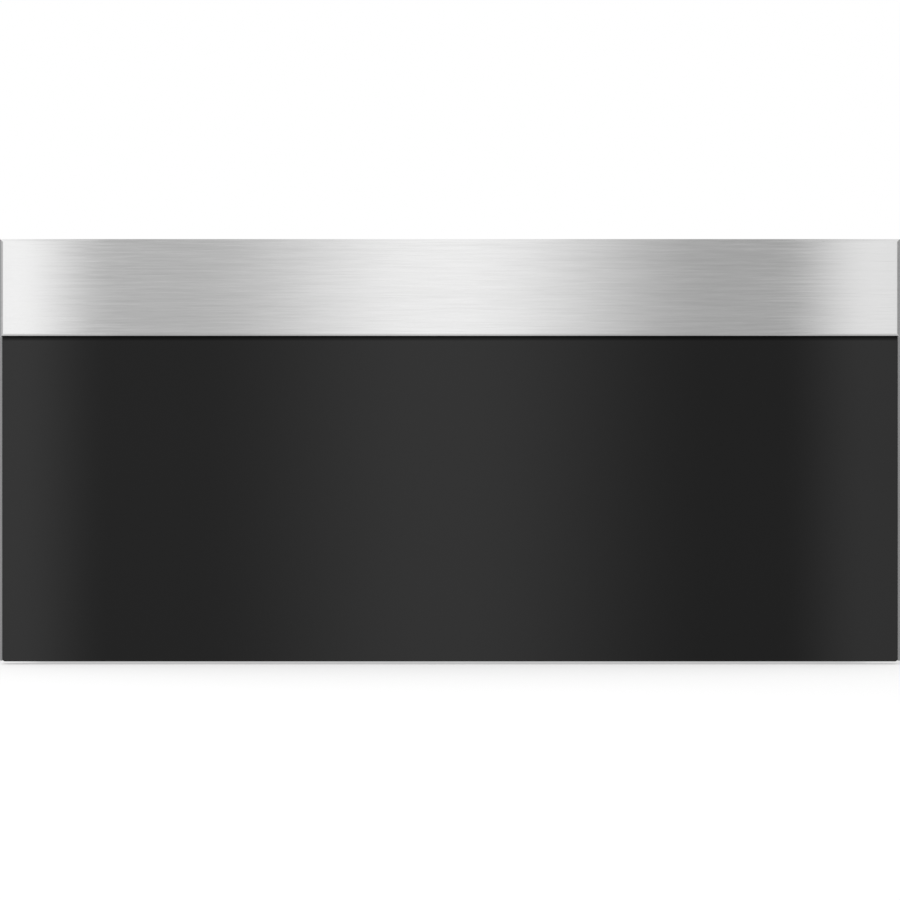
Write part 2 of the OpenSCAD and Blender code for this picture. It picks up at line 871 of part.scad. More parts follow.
// Safety thermostat, a disc on the shroud with two tabs
module thermal_cutout() {
    z = z_fan + cutout_up;
    rear = y_shroud_back + cutout_l;
    color("white") {
        rod_y(cutout_flange_r, y_shroud_back, y_shroud_back + cutout_flange_t, cutout_x, z);
        rod_y(cutout_r, y_shroud_back, rear, cutout_x, z);
        for (s = [-1, 1]) tab(cutout_x + s * cutout_r / 2, rear, z);
    }
}

sensor_r = 2.5;
sensor_reach = 7;
sensor_flange_r = 5.5;
sensor_flange_t = 4;
sensor_tail_r = 3.5;
sensor_tail_l = 10;
sensor_x = -shroud_w / 2 - 2 * shroud_flange;
sensor_drop = 14;
sensor_z = z_mouth_top - sensor_drop;

// Air-temperature probe through the baffle
module air_sensor() {
    color("silver") {
        rod_y(sensor_r, y_baffle - sensor_reach, y_bay, sensor_x, sensor_z);
        rod_y(sensor_flange_r, y_bay, y_bay + sensor_flange_t, sensor_x, sensor_z);
        rod_y(sensor_tail_r, y_bay, y_bay + sensor_flange_t + sensor_tail_l, sensor_x, sensor_z);
    }
}

// ---------------------------------------------------------------- electrics in the rear bay

power_w = 136;
power_h = 104;
power_rim = 6;
power_sheet = 2;
power_wall = 12;
power_post = 6;
power_post_r = 3;
board_y = y_back_in - power_sheet - power_post - board_t;

// Shallow plastic tray on the back panel, with four posts for the board
module power_tray() {
    w = power_w / 2 + power_rim;
    h = power_h / 2 + power_rim;
    t = power_sheet;
    color("whitesmoke") difference() {
        translate([power_x, 0, z_fan]) difference() {
            block(-w, w, y_back_in - power_wall, y_back_in, -h, h);
            block(t - w, w - t, y_back_in - power_wall - cut, y_back_in - t, t - h, h - t);
        }
        back_vent_field();
    }
    color("whitesmoke") for (x = [-1, 1], z = [-1, 1]) {
        rod_y(power_post_r, board_y + board_t, y_back_in - t / 2, power_x + x * (power_w / 2 - power_rim),
              z_fan + z * (power_h / 2 - power_rim));
    }
}

// Circuit board of the power unit
module power_board() {
    color("seagreen") translate([power_x, 0, z_fan]) {
        block(-power_w / 2, power_w / 2, board_y, board_y + board_t, -power_h / 2, power_h / 2);
    }
}

// Blocks and cans on the power board, each a size of its own
relay = [18, 15, 20];
relays_n = 3;
transformer = [32, 22, 36];
plug = [16, 10, 10];
plugs_n = 5;
can_r = 5;
can_l = 14;
cans_n = 4;
big_can_r = 6.5;
big_can_l = 18;
part_gap = 6;

// A block of the given size on the board's front, with its lower left corner at x and z
module board_block(size, x, z) {
    translate([x, board_y - size[1], z]) cube(size);
}

// Parts soldered to the power board: relays, transformer, capacitors and plugs
module power_board_parts() {
    left = power_x - power_w / 2 + part_gap;
    right = power_x + power_w / 2 - part_gap;
    foot = z_fan - power_h / 2 + part_gap;
    head = z_fan + power_h / 2 - part_gap;
    color("dimgray") {
        for (i = [0:relays_n - 1]) {
            board_block(relay, left + part_gap + i * (relay[0] + part_gap), head - relay[2]);
        }
        board_block(transformer, right - part_gap - transformer[0], head - transformer[2]);
        for (i = [0:cans_n - 1]) {
            x = left + 2 * part_gap + i * (2 * can_r + part_gap);
            rod_y(can_r, board_y - can_l, board_y, x, z_fan + part_gap);
        }
        for (i = [0:plugs_n - 1]) board_block(plug, left + part_gap + i * (plug[0] + part_gap), foot);
        rod_y(big_can_r, board_y - big_can_l, board_y, right - 3 * part_gap, z_fan - 2 * part_gap);
    }
}

terminal_x = gland_x + 55;
terminal_z = gland_z;
terminal_w = 42;
terminal_h = 22;
terminal_d = 18;

// Three-way mains terminal block, with its clamp screws
module terminal_block() {
    front = y_back_in - terminal_d;
    color("white") difference() {
        block(terminal_x - terminal_w / 2, terminal_x + terminal_w / 2, front, y_back_in,
              terminal_z - terminal_h / 2, terminal_z + terminal_h / 2);
        at_clamps() rod_y(clamp_r + fit, front - cut, front + clamp_well, 0, 0);
        for (x = clamp_xs) {
            rod_z(wire_way_r, terminal_z - terminal_h, terminal_z + terminal_h, x, y_back_in - wire_way_in);
        }
    }
    color("gold") at_clamps() difference() {
        rod_y(clamp_r, front + clamp_well - clamp_head, front + clamp_well, 0, 0);
        translate([0, front + clamp_well - clamp_head, 0])
            cube([3 * clamp_r, clamp_head, clamp_slot], center = true);
    }
}

clamp_r = 2.5;
clamp_well = 5;
clamp_head = 3;
clamp_slot = 0.8;
clamp_xs = [for (i = [-1:1]) terminal_x + i * terminal_w / 3.2];
wire_way_r = 2.2;
wire_way_in = 6;

// The six clamp screws' places on the terminal block's front
module at_clamps() {
    for (x = clamp_xs, s = [-1, 1]) translate([x, 0, terminal_z + s * terminal_h / 4.4]) children();
}

// Bush for the mains lead in the back panel, with a flange outside and a lock ring inside
module cable_gland() {
    color("black") {
        difference() {
            union() {
                rod_y(gland_flange_r, y_back, y_back + gland_lip, gland_x, gland_z);
                rod_y(gland_r, y_back_in - gland_in, y_back + gland_out, gland_x, gland_z);
            }
            rod_y(gland_bore_r, y_back_in - gland_in - cut, y_back + gland_out + cut, gland_x, gland_z);
        }
        difference() {
            rod_y(gland_flange_r, y_back_in - gland_nut, y_back_in, gland_x, gland_z);
            rod_y(gland_r + fit, y_back_in - gland_nut - cut, y_back_in + cut, gland_x, gland_z);
        }
    }
}

// Every screw of the casing, the frame, the shroud and the latch
module housing_screws() {
    color("silver") {
        at_top_side_screws() screw();
        at_base_side_screws() screw();
        at_back_side_screws() screw();
        at_back_edge_screws() screw();
        at_frame_screws() screw();
        shroud_screws_at() screw();
        bracket_screws_at() screw();
        latch_screw_places() translate([0, 0, sheet / 2 + latch_ear_t]) screw(latch_ear_t + sheet);
    }
}

// ---------------------------------------------------------------- push-to-open latch

latch_ear_t = 3;
latch_ear_l = 12;
latch_ear_w = 16;

module latch_screw_places() {
    for (s = [-1, 1]) {
        translate([s * (latch_w / 2 + latch_ear_l / 2), y_in + latch_l / 2, z_case + sheet / 2]) children();
    }
}

// Latch body on the base, right behind the frame: its bore takes the striker and holds the spring
module push_latch_body() {
    color("darkslategray") difference() {
        union() {
            block(-latch_w / 2, latch_w / 2, y_in, y_in + latch_l, z_floor, latch_roof);
            translate([0, y_in + latch_l / 2, z_floor + latch_ear_t / 2])
                cube([latch_w + 2 * latch_ear_l, latch_ear_w, latch_ear_t], center = true);
        }
        rod_y(latch_bore_r, y_in - cut, spring_end, 0, z_latch);
        latch_screw_places() cylinder(r = screw_r + fit, h = 8 * latch_ear_t, center = true);
    }
}

// Plunger that the spring pushes forward: a head in the bore and a stem inside the spring
module ejector_plunger() {
    color("white") {
        rod_y(plunger_r, plunger_y, spring_y, 0, z_latch);
        rod_y(spring_r - spring_wire_r - slack, spring_y, spring_y + plunger_stem, 0, z_latch);
    }
}

// A point on the spring's wire, t turns from its front end
function spring_point(t) = [
    spring_r * cos(360 * t),
    spring_y + spring_wire_r + fit + t * spring_pitch,
    z_latch + spring_r * sin(360 * t)
];

// One ring of the wire's surface, which stands square to the radius
function spring_ring(t) = [
    for (i = [0:spring_sides - 1])
        let (a = 360 / spring_sides * i, p = spring_point(t))
        [p[0] + spring_wire_r * cos(a) * cos(360 * t), p[1] + spring_wire_r * sin(a),
         p[2] + spring_wire_r * cos(a) * sin(360 * t)]
];

// Least gap between neighbouring turns, printed for the reader
spring_pitch = (spring_end - spring_y - 2 * spring_wire_r - 2 * fit) / spring_turns;
echo(least_gap_between_spring_turns = spring_pitch - 2 * spring_wire_r);

// Ejector spring between the bore's end and the plunger: one wire wound in a helix
module ejector_spring() {
    steps = spring_turns * spring_rings;
    n = spring_sides;
    points = [for (k = [0:steps]) each spring_ring(k / spring_rings)];
    walls = [
        for (k = [0:steps - 1], i = [0:n - 1])
            each [[k * n + i, k * n + (i + 1) % n, (k + 1) * n + (i + 1) % n],
                  [k * n + i, (k + 1) * n + (i + 1) % n, (k + 1) * n + i]]
    ];
    front = [for (i = [1:n - 2]) [0, i + 1, i]];
    last = steps * n;
    back = [for (i = [1:n - 2]) [last, last + i, last + i + 1]];
    color("silver") polyhedron(points = points, faces = concat(walls, front, back));
}

striker_lip = 1;
striker_lip_t = 1.5;

// Striker rod on the front's rear plate, with a lip at its root
module push_striker() {
    color("silver") {
        rod_y(striker_r + striker_lip, y_front_rear, y_front_rear + striker_lip_t, 0, z_latch);
        rod_y(striker_r, y_front_rear, y_front_rear + striker_l, 0, z_latch);
    }
}

// ---------------------------------------------------------------- runners

// Places a section, drawn in u (liner to drawer) and v (up), along the right-hand runner
module along_runner(y0, l) {
    translate([x_mouth, y0 + l, z_run]) rotate([90, 0, 0]) mirror([1, 0, 0]) linear_extrude(l) children();
}

// A channel section: a web at u0 and two flanges that reach to u1
module channel(u0, u1, web, top, thick) {
    translate([u0, -top]) square([web, 2 * top]);
    for (s = [-1, 1]) {
        translate([u0, s > 0 ? top - thick : -top]) square([u1 - u0, thick]);
    }
}

// A pair of ball grooves, above and below the centre
module grooves(u, v, r) {
    for (s = [-1, 1]) translate([u, s * v]) circle(r = r + ball_gap);
}

module runner_outer() {
    color("lightsteelblue") along_runner(y_run, run_l) difference() {
        channel(0, outer_ball_u + outer_reach, web_t, run_h / 2, rail_flange_t);
        grooves(outer_ball_u, outer_ball_v, ball_r);
    }
}

module runner_middle() {
    color("lightsteelblue") along_runner(y_run, run_l) difference() {
        channel(mid_web_u, inner_ball_u + mid_reach, web_t, mid_top_v, mid_flange_t);
        grooves(outer_ball_u, outer_ball_v, ball_r);
        grooves(inner_ball_u, inner_ball_v, small_ball_r);
    }
}

module runner_inner() {
    color("lightsteelblue") along_runner(y_run, run_l) difference() {
        mirror([1, 0]) translate([-run_t, 0])
            channel(0, run_t - inner_ball_u + in_reach, web_t, in_top_v, rail_flange_t);
        grooves(inner_ball_u, inner_ball_v, small_ball_r);
    }
}

module runner_outer_left() mirror([1, 0, 0]) runner_outer();
module runner_outer_right() runner_outer();
module runner_middle_left() mirror([1, 0, 0]) runner_middle();
module runner_middle_right() runner_middle();
module runner_inner_left() mirror([1, 0, 0]) runner_inner();
module runner_inner_right() runner_inner();

// Every ball's centre in two rows, at u and at v above and below the runner's centre
module at_balls(u, v) {
    for (i = [0:balls - 1], s = [-1, 1]) {
        translate([x_mouth - u, y_cage + (i + 0.5) * cage_l / balls, z_run + s * v]) children();
    }
}

// A ball cage: a bent strip with two rows of balls that run between two rail members
module ball_cage(u0, u1, u, v, r) {
    difference() {
        along_runner(y_cage, cage_l) channel(u0, u1, cage_t, v + cage_plate_t / 2, cage_plate_t);
        at_balls(u, v) cylinder(r = r + ball_gap, h = 2 * cage_plate_t, center = true);
    }
    at_balls(u, v) sphere(r = r);
}

module outer_ball_cages() {
    color("dimgray") both_sides() {
        ball_cage(web_t + slack, outer_ball_u + ball_r + cage_reach, outer_ball_u, outer_ball_v, ball_r);
    }
}

module inner_ball_cages() {
    color("dimgray") both_sides() {
        ball_cage(mid_web_u + web_t + slack, inner_ball_u + small_ball_r + cage_reach, inner_ball_u,
                  inner_ball_v, small_ball_r);
    }
}

// ---------------------------------------------------------------- drawer box

// Floor of the drawer
module drawer_base() {
    color("silver") block(-x_drawer, x_drawer, y_plug, y_tail, z_plug, z_tray);
}

rim_drop = 8;

// Side of the drawer, with a rim turned outwards over the runner
module drawer_side() {
    top = z_mouth_top - side_drop;
    color("silver") {
        block(x_drawer - drawer_sheet, x_drawer, y_plug, y_tail, z_tray, top);
        block(x_drawer, x_drawer + rim_w, y_plug, y_tail, top - drawer_sheet, top);
        block(x_drawer + rim_w - drawer_sheet, x_drawer + rim_w, y_plug, y_tail, top - rim_drop,
              top - drawer_sheet);
    }
}

module drawer_side_left() mirror([1, 0, 0]) drawer_side();
module drawer_side_right() drawer_side();

tail_slot_l = 42;
tail_slot_w = 5;
tail_slots = 8;
tail_slot_pitch = 52;
tail_slot_drop = 20;
tail_row_pitch = 14;
tail_rim = 7;

// Rear wall of the drawer: lower than the sides, with slots for the warm air and a rolled-back rim
module drawer_back() {
    w = x_drawer - drawer_sheet;
    top = z_tray + tail_h;
    color("silver") difference() {
        union() {
            block(-w, w, y_tail - drawer_sheet, y_tail, z_tray, top);
            block(-w, w, y_tail, y_tail + tail_rim, top - drawer_sheet, top);
        }
        for (i = [0:tail_slots - 1], row = [0, 1]) {
            x = (i - (tail_slots - 1) / 2) * tail_slot_pitch;
            translate([x, y_tail, top - tail_slot_drop - row * tail_row_pitch])
                cube([tail_slot_l, 4 * drawer_sheet, tail_slot_w], center = true);
        }
    }
}

mat_inset = 2;
mat_r = 8;

// Rubber mat on the drawer's floor
module antislip_mat() {
    w = 2 * (x_drawer - drawer_sheet - mat_inset);
    y0 = y_plug + mat_inset;
    y1 = y_tail - drawer_sheet - mat_inset;
    color("dimgray") round_plate(w, y1 - y0, mat_r, z_tray, z_mat_top, 0, (y0 + y1) / 2);
}

rack_side_gap = 5;
rack_x = x_drawer - drawer_sheet - rack_side_gap - rack_w / 2;
rack_y = (y_plug + y_tail - drawer_sheet) / 2;
rack_d = y_tail - drawer_sheet - y_plug - 2 * rack_end_gap;
rack_leg_inset = 22;
bend_swell = 0.1;

// Welded wire shelf: a closed frame wire and cross wires on top of it
module wire_rack() {
    x0 = rack_x - rack_w / 2 + rack_wire_r;
    x1 = rack_x + rack_w / 2 - rack_wire_r;
    y0 = rack_y - rack_d / 2 + rack_wire_r;
    y1 = rack_y + rack_d / 2 - rack_wire_r;
    weld = 0.4;
    z_cross = z_rack + rack_wire_r + cross_wire_r - weld;
    pitch = (y1 - y0) / (cross_wires + 1);
    color("silver") {
        for (x = [x0, x1]) rod_y(rack_wire_r, y0, y1, x, z_rack);
        for (y = [y0, y1]) rod_x(rack_wire_r, x0, x1, y, z_rack);
        for (x = [x0, x1], y = [y0, y1]) translate([x, y, z_rack]) sphere(r = rack_wire_r);
        for (i = [1:cross_wires]) {
            rod_x(cross_wire_r, x0 - rack_wire_r / 2, x1 + rack_wire_r / 2, y0 + i * pitch, z_cross);
        }
    }
}

// Two U-shaped leg wires under the shelf's long sides
module rack_legs() {
    y0 = rack_y - rack_d / 2 + rack_leg_inset;
    y1 = rack_y + rack_d / 2 - rack_leg_inset;
    z0 = z_mat_top + rack_wire_r;
    color("silver") for (s = [-1, 1]) {
        x = rack_x + s * (rack_w / 2 - rack_wire_r);
        rod_y(rack_wire_r, y0, y1, x, z0);
        for (y = [y0, y1]) {
            translate([x, y, z0 + bend_swell]) sphere(r = rack_wire_r + bend_swell);
            rod_z(rack_wire_r, z0, z_rack - rack_wire_r, x, y);
        }
    }
}

// ---------------------------------------------------------------- drawer front

// Where the touch glass lies on the front's hollow step
touch_l = 2 * (x_plug - touch_end_gap);
touch_y = y_front_rear + seal_w + 1.5 + touch_w / 2;

module control_window(extra, z0, z1) {
    translate([0, touch_y, z0]) linear_extrude(z1 - z0)
        square([touch_l + 2 * extra, touch_w + 2 * extra], center = true);
}

plate_inset = 6;
plate_foot = 3;
plate_screw_inset = 4.5;

// Stainless rear panel of the front: a flat plate with a hollow step that enters the frame's mouth
module drawer_front_inner() {
    w = x_front - plate_inset;
    color("silver") difference() {
        union() {
            block(-w, w, y_plate, y_front_rear, front_bottom + plate_foot, z_front_top - plate_inset);
            block(-x_plug, x_plug, y_plate, y_plug, z_plug, z_plug_top);
        }
        block(-x_plug + drawer_sheet, x_plug - drawer_sheet, y_plate - cut, y_plug - drawer_sheet,
              z_plug + drawer_sheet, z_plug_top - drawer_sheet);
        control_window(slack, z_plug_top - 3, z_plug_top + cut);
        plate_screw_places() screw_hole(2 * drawer_sheet);
    }
}

module plate_screw_places() {
    x = x_front - plate_inset - plate_screw_inset;
    for (z = plate_screw_zs) {
        both_sides() translate([x, y_front_rear, z]) rotate([-90, 0, 0]) children();
    }
}

module drawer_screws() {
    color("silver") plate_screw_places() screw();
}

carrier_foot = 1;

// Steel pan behind the glass and the band, open at the rear between its lips
module front_carrier() {
    z0 = front_bottom + carrier_foot;
    z1 = z_front_top - band_sheet;
    t = carrier_sheet;
    lip = carrier_lip;
    color("gray") difference() {
        block(-x_pane, x_pane, y_glass_back, y_plate, z0, z1);
        block(t - x_pane, x_pane - t, y_glass_back + t, y_plate - t, z0 + t, z1 - t);
        block(lip - x_pane, x_pane - lip, y_plate - 2 * t, y_plate + cut, z0 + lip, z1 - lip);
        plate_screw_places() screw_hole(2 * carrier_sheet);
    }
}

// Mineral-fibre pad in the pan and the step, below the control tray
module front_insulation() {
    color("khaki") block(-x_plug + drawer_sheet + end_gap, x_plug - drawer_sheet - end_gap,
                         y_glass_back + carrier_sheet, y_plug - drawer_sheet,
                         z_tray + end_gap, z_control - end_gap);
}

// Black glass pane with round lower corners
module front_glass() {
    h = z_band - band_seam - front_bottom;
    color("black") translate([0, y_glass_back, front_bottom]) rotate([90, 0, 0]) linear_extrude(glass_t) {
        translate([-x_pane, glass_r]) square([2 * x_pane, h - glass_r]);
        translate([-x_pane + glass_r, 0]) square([2 * (x_pane - glass_r), h / 2]);
        for (s = [-1, 1]) translate([s * (x_pane - glass_r), glass_r]) circle(r = glass_r);
    }
}

// Solid behind one skin of the band: r and e are the bends' radii and inset how far the skin lies inside
module band_solid(inset, y_rear) {
    r = band_r - inset;
    e = band_end_r - inset;
    x = x_front - inset;
    y = y_face + inset;
    z0 = z_band + inset;
    z1 = z_front_top - inset;
    intersection() {
        translate([-x, 0, 0]) rotate([90, 0, 90]) linear_extrude(2 * x) {
            translate([y + r, z0]) square([y_rear - y - r, z1 - z0]);
            translate([y, z0 + r]) square([2 * r, z1 - z0 - 2 * r]);
            for (z = [z0 + r, z1 - r]) translate([y + r, z]) circle(r = r);
        }
        translate([0, 0, z0]) linear_extrude(z1 - z0) {
            translate([-x, y + e]) square([2 * x, y_rear - y - e]);
            translate([-x + e, y]) square([2 * (x - e), 2 * e]);
            for (s = [-1, 1]) translate([s * (x - e), y + e]) circle(r = e);
        }
    }
}

// Brushed stainless band: one folded sheet, open at the rear, with a short return above the glass
module steel_band() {
    color("lightgray") difference() {
        band_solid(0, y_plate);
        band_solid(band_sheet, y_plate + cut);
        block(-x_front + band_sheet, x_front - band_sheet, y_glass_back, y_plate + cut, z_band - cut,
              z_band + 2 * band_sheet);
    }
}

trim_back = 0.3;
trim_foot = 0.5;
trim_gap = 0.2;

// Thin metal strips that close the front's sides beside the glass
module side_trims() {
    color("darkgray") both_sides() {
        block(x_pane, x_front, y_glass + trim_back, y_plate, front_bottom + trim_foot, z_band - trim_gap);
    }
}

// ---------------------------------------------------------------- controls in the front's step

z_control = z_plug_top - drawer_sheet - tray_h;
tray_reach = 5;
tray_x = touch_l / 2 + tray_reach;
touch_proud = 0.5;
touch_r = 1.5;
z_touch = z_plug_top + touch_proud - touch_t;
board_post = 6;
board_post_r = 2.5;
tray_front = 1;
control_board_z = z_control + tray_wall + board_post;

// Plastic tray under the step's top sheet, with a seat for the glass and a pocket for the board
module control_tray() {
    color("dimgray") difference() {
        block(-tray_x, tray_x, touch_y - touch_w / 2 - tray_wall - tray_front, touch_y + touch_w / 2 + tray_wall,
              z_control, z_plug_top - drawer_sheet);
        control_window(slack, z_touch, z_plug_top);
        control_window(-tray_wall, z_control + tray_wall, z_plug_top);
    }
    color("dimgray") for (x = [-1, 0, 1]) {
        rod_z(board_post_r, z_control + tray_wall, control_board_z, x * (touch_l / 2 - post_inset), touch_y);
    }
}

// Touch glass over the tray
module control_glass() {
    color("black") round_plate(touch_l, touch_w, touch_r, z_touch, z_touch + touch_t, 0, touch_y);
}

post_inset = 14;
pads_side = 5;
pad_r = 4;
pad_h = 5;
pad_pitch = touch_l / (2 * pads_side + 2);

// Circuit board under the touch glass, with its sensor pads and lamps
module control_board() {
    w = touch_l / 2 - tray_wall - slack;
    d = touch_w / 2 - tray_wall - slack;
    color("seagreen") block(-w, w, touch_y - d, touch_y + d, control_board_z, control_board_z + board_t);
    color("dimgray") for (i = [-pads_side:pads_side]) {
        rod_z(pad_r, control_board_z + board_t, control_board_z + board_t + pad_h, i * pad_pitch, touch_y);
    }
}

seal_base = 1.6;
seal_lip_from = 0.65;
seal_lip_to = 0.85;

// Sealing lip round the step, which runs inside the frame's mouth
module drawer_seal() {
    color("black") difference() {
        union() {
            seal_ring(0, 1, seal_base);
            seal_ring(seal_lip_from, seal_lip_to, seal_h);
        }
        block(-x_plug, x_plug, y_front_rear - cut, y_front_rear + seal_w + cut, z_plug, z_plug_top);
    }
}

// A block round the step, from share a to share b of the seal's width, that stands h proud of it
module seal_ring(a, b, h) {
    x = x_plug + h;
    y = y_front_rear;
    block(-x, x, y + a * seal_w, y + b * seal_w, z_plug - h, z_plug_top + h);
}

// ---------------------------------------------------------------- all pieces

casing_base();
casing_side_left();
casing_side_right();
casing_top();
casing_back();
front_frame();
feet();
rear_spacers();
liner_side_left();
liner_side_right();
liner_top();
insulation_top();
insulation_sides();
air_baffle();
fan_shroud();
motor_stator();
motor_coil();
motor_bracket();
heater_ring();
thermal_cutout();
air_sensor();
power_tray();
power_board();
power_board_parts();
terminal_block();
cable_gland();
runner_outer_left();
runner_outer_right();
push_latch_body();
ejector_plunger();
ejector_spring();
front_buffers();
housing_screws();
motor_rotor();
fan_wheel();
runner_middle_left();
runner_middle_right();
outer_ball_cages();
inner_ball_cages();
runner_inner_left();
runner_inner_right();
drawer_base();
drawer_side_left();
drawer_side_right();
drawer_back();
drawer_front_inner();
front_insulation();
front_carrier();
front_glass();
steel_band();
side_trims();
control_tray();
control_glass();
control_board();
drawer_seal();
antislip_mat();
wire_rack();
rack_legs();
push_striker();
drawer_screws();
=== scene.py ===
import json
import math

import bpy
import numpy as np
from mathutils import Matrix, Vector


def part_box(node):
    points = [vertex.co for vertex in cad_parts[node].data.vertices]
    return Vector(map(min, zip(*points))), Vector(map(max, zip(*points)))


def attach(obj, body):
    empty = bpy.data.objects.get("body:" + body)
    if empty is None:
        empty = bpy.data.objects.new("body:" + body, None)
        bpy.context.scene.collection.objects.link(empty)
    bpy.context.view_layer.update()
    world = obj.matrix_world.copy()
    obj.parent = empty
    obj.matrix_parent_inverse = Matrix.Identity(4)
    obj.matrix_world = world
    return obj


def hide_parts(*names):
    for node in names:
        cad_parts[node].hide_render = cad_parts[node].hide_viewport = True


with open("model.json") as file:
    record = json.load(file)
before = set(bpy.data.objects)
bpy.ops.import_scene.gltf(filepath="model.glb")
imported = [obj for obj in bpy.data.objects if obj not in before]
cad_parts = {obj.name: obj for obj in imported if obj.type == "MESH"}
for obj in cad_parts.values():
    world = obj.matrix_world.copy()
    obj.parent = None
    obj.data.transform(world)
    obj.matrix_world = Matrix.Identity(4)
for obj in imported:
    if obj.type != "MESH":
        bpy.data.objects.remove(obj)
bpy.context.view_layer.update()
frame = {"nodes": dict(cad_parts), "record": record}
record = frame["record"]

# ---------------------------------------------------------------- places, in metres
MM = 0.001
front_low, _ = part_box("front_glass")
band_low, band_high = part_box("steel_band")
front_width = band_high.x - band_low.x
front_middle_z = (front_low.z + band_high.z) / 2

# The black bead under the band, which paints the band's shadow on the glass: its height, how far
# down the painted shadow stays at its darkest, and the power of its rise below that
PAINTED_SHADOW_HEIGHT, PAINTED_SHADOW_DARKEST, PAINTED_SHADOW_POWER = 0.0029, 0.0004, 1.7


# ---------------------------------------------------------------- nodes
class Tree:
    """Short calls that add nodes to one node tree and join their sockets."""

    def __init__(self, tree):
        self.tree = tree

    def put(self, socket, value):
        """Joins the socket to another socket, or sets it to a plain value."""
        if isinstance(value, bpy.types.NodeSocket):
            self.tree.links.new(value, socket)
        else:
            socket.default_value = value

    def add(self, kind, inputs=(), **settings):
        """A node with its settings, and its inputs by name or number."""
        node = self.tree.nodes.new("ShaderNode" + kind)
        for name, value in settings.items():
            setattr(node, name, value)
        for name, value in dict(inputs).items():
            self.put(node.inputs[name], value)
        return node

    def math(self, operation, a, b=0.0, c=0.0):
        """One Math node's result."""
        return self.add("Math", {0: a, 1: b, 2: c}, operation=operation).outputs[0]

    def times(self, a, b):
        """The product of two numbers."""
        return self.math("MULTIPLY", a, b)

    def blend(self, a, share_a, b, share_b):
        """Two numbers, each times its own share, added up."""
        return self.math("MULTIPLY_ADD", a, share_a, self.times(b, share_b))

    def vector(self, operation, a, b=(0.0, 0.0, 0.0)):
        """One Vector Math node."""
        return self.add("VectorMath", {0: a, 1: b}, operation=operation)

    def parts(self, vector):
        """The vector's X, Y and Z."""
        return self.add("SeparateXYZ", {0: vector}).outputs

    def scaled(self, vector, scale):
        """The vector with each part times its own factor."""
        return self.add("Mapping", {"Vector": vector, "Scale": scale}).outputs[0]

    def object_place(self):
        """The place on the object, in metres."""
        return self.add("TexCoord").outputs["Object"]

    def noise(self, vector, scale, detail=3.0, roughness=0.55):
        """Noise from 0 to 1."""
        inputs = {"Vector": vector, "Scale": scale, "Detail": detail, "Roughness": roughness}
        return self.add("TexNoise", inputs).outputs["Fac"]

    def cells(self, vector, scale, **settings):
        """A Voronoi texture: one colour a cell, and the distance from the cell's point."""
        return self.add("TexVoronoi", {"Vector": vector, "Scale": scale}, **settings)

    def remap(self, value, low, high, to_low=0.0, to_high=1.0):
        """The value's range from low to high, carried to another range and held inside it."""
        inputs = {"Value": value, "From Min": low, "From Max": high,
                  "To Min": to_low, "To Max": to_high}
        return self.add("MapRange", inputs).outputs["Result"]

    def mix(self, share, a, b):
        """Two colours mixed. A plain colour is three numbers."""
        a, b = (value if isinstance(value, bpy.types.NodeSocket) else (*value, 1.0)
                for value in (a, b))
        return self.add("Mix", {0: share, 6: a, 7: b}, data_type="RGBA").outputs[2]


VECTOR = ("Vector", "NodeSocketVector", None)
LENGTHS = ("Stretch", "NodeSocketVector", (1.0, 1.0, 1.0))


def scale_input(value):
    """The input that sets how fine an effect is, in features per metre."""
    return ("Scale", "NodeSocketFloat", value)


def new_group(name, inputs, outputs):
    """An empty shader node group with named inputs and outputs: the group, its Tree, and the
    sockets inside it that hold what is given and take the results."""
    group = bpy.data.node_groups.new(name, "ShaderNodeTree")
    for socket, kind, value in inputs:
        made = group.interface.new_socket(name=socket, in_out="INPUT", socket_type=kind)
        if value is not None:
            made.default_value = value
    for socket, kind in outputs:
        group.interface.new_socket(name=socket, in_out="OUTPUT", socket_type=kind)
    given = group.nodes.new("NodeGroupInput").outputs
    results = group.nodes.new("NodeGroupOutput").inputs
    return group, Tree(group), given, results


def effect(name, inputs, make):
    """A group that puts out Tone and Height from 0 to 1. make(tree, sockets) returns both."""
    outputs = [("Tone", "NodeSocketFloat"), ("Height", "NodeSocketFloat")]
    group, tree, given, results = new_group(name, inputs, outputs)
    tone, height = make(tree, given)
    tree.put(results["Tone"], tone)
    tree.put(results["Height"], height)
    return group


def brushing(tree, given):
    """Fine parallel lines over wider bands: two noises, stretched along the lines, under a faint
    cloud."""
    along = tree.vector("MULTIPLY", given["Vector"], given["Stretch"]).outputs[0]
    fine = tree.noise(along, given["Scale"], 4.0, 0.7)
    wide = tree.noise(along, tree.times(given["Scale"], 0.12), 2.0)
    cloud = tree.noise(given["Vector"], 6.0, 2.0)
    lines = tree.blend(fine, 0.82, wide, 0.18)
    return tree.remap(tree.blend(cloud, 0.1, lines, 0.9), 0.3, 0.7), lines


def spangle(tree, given):
    """Zinc crystals: cells of one tone each in two sizes, feathered inside.

    A coloured noise bends the cells' borders by a few millimetres."""
    finer = tree.times(given["Scale"], 1.5)
    wander = tree.add("TexNoise", {"Vector": given["Vector"], "Scale": finer}).outputs["Color"]
    bend = tree.scaled(wander, (0.006, 0.006, 0.006))
    bent = tree.vector("ADD", given["Vector"], bend).outputs[0]
    tones = []
    for size in (1.0, 1.9):
        cells = tree.cells(bent, tree.times(given["Scale"], size))
        tones.append(tree.add("SeparateColor", {0: cells.outputs["Color"]}).outputs[0])
    feather = tree.noise(tree.scaled(bent, (1.0, 1.0, 3.0)), tree.times(given["Scale"], 7.0), 3.0)
    cell = tree.blend(tones[0], 0.6, tones[1], 0.4)
    return tree.remap(tree.blend(cell, 0.6, feather, 0.4), 0.15, 0.85), feather


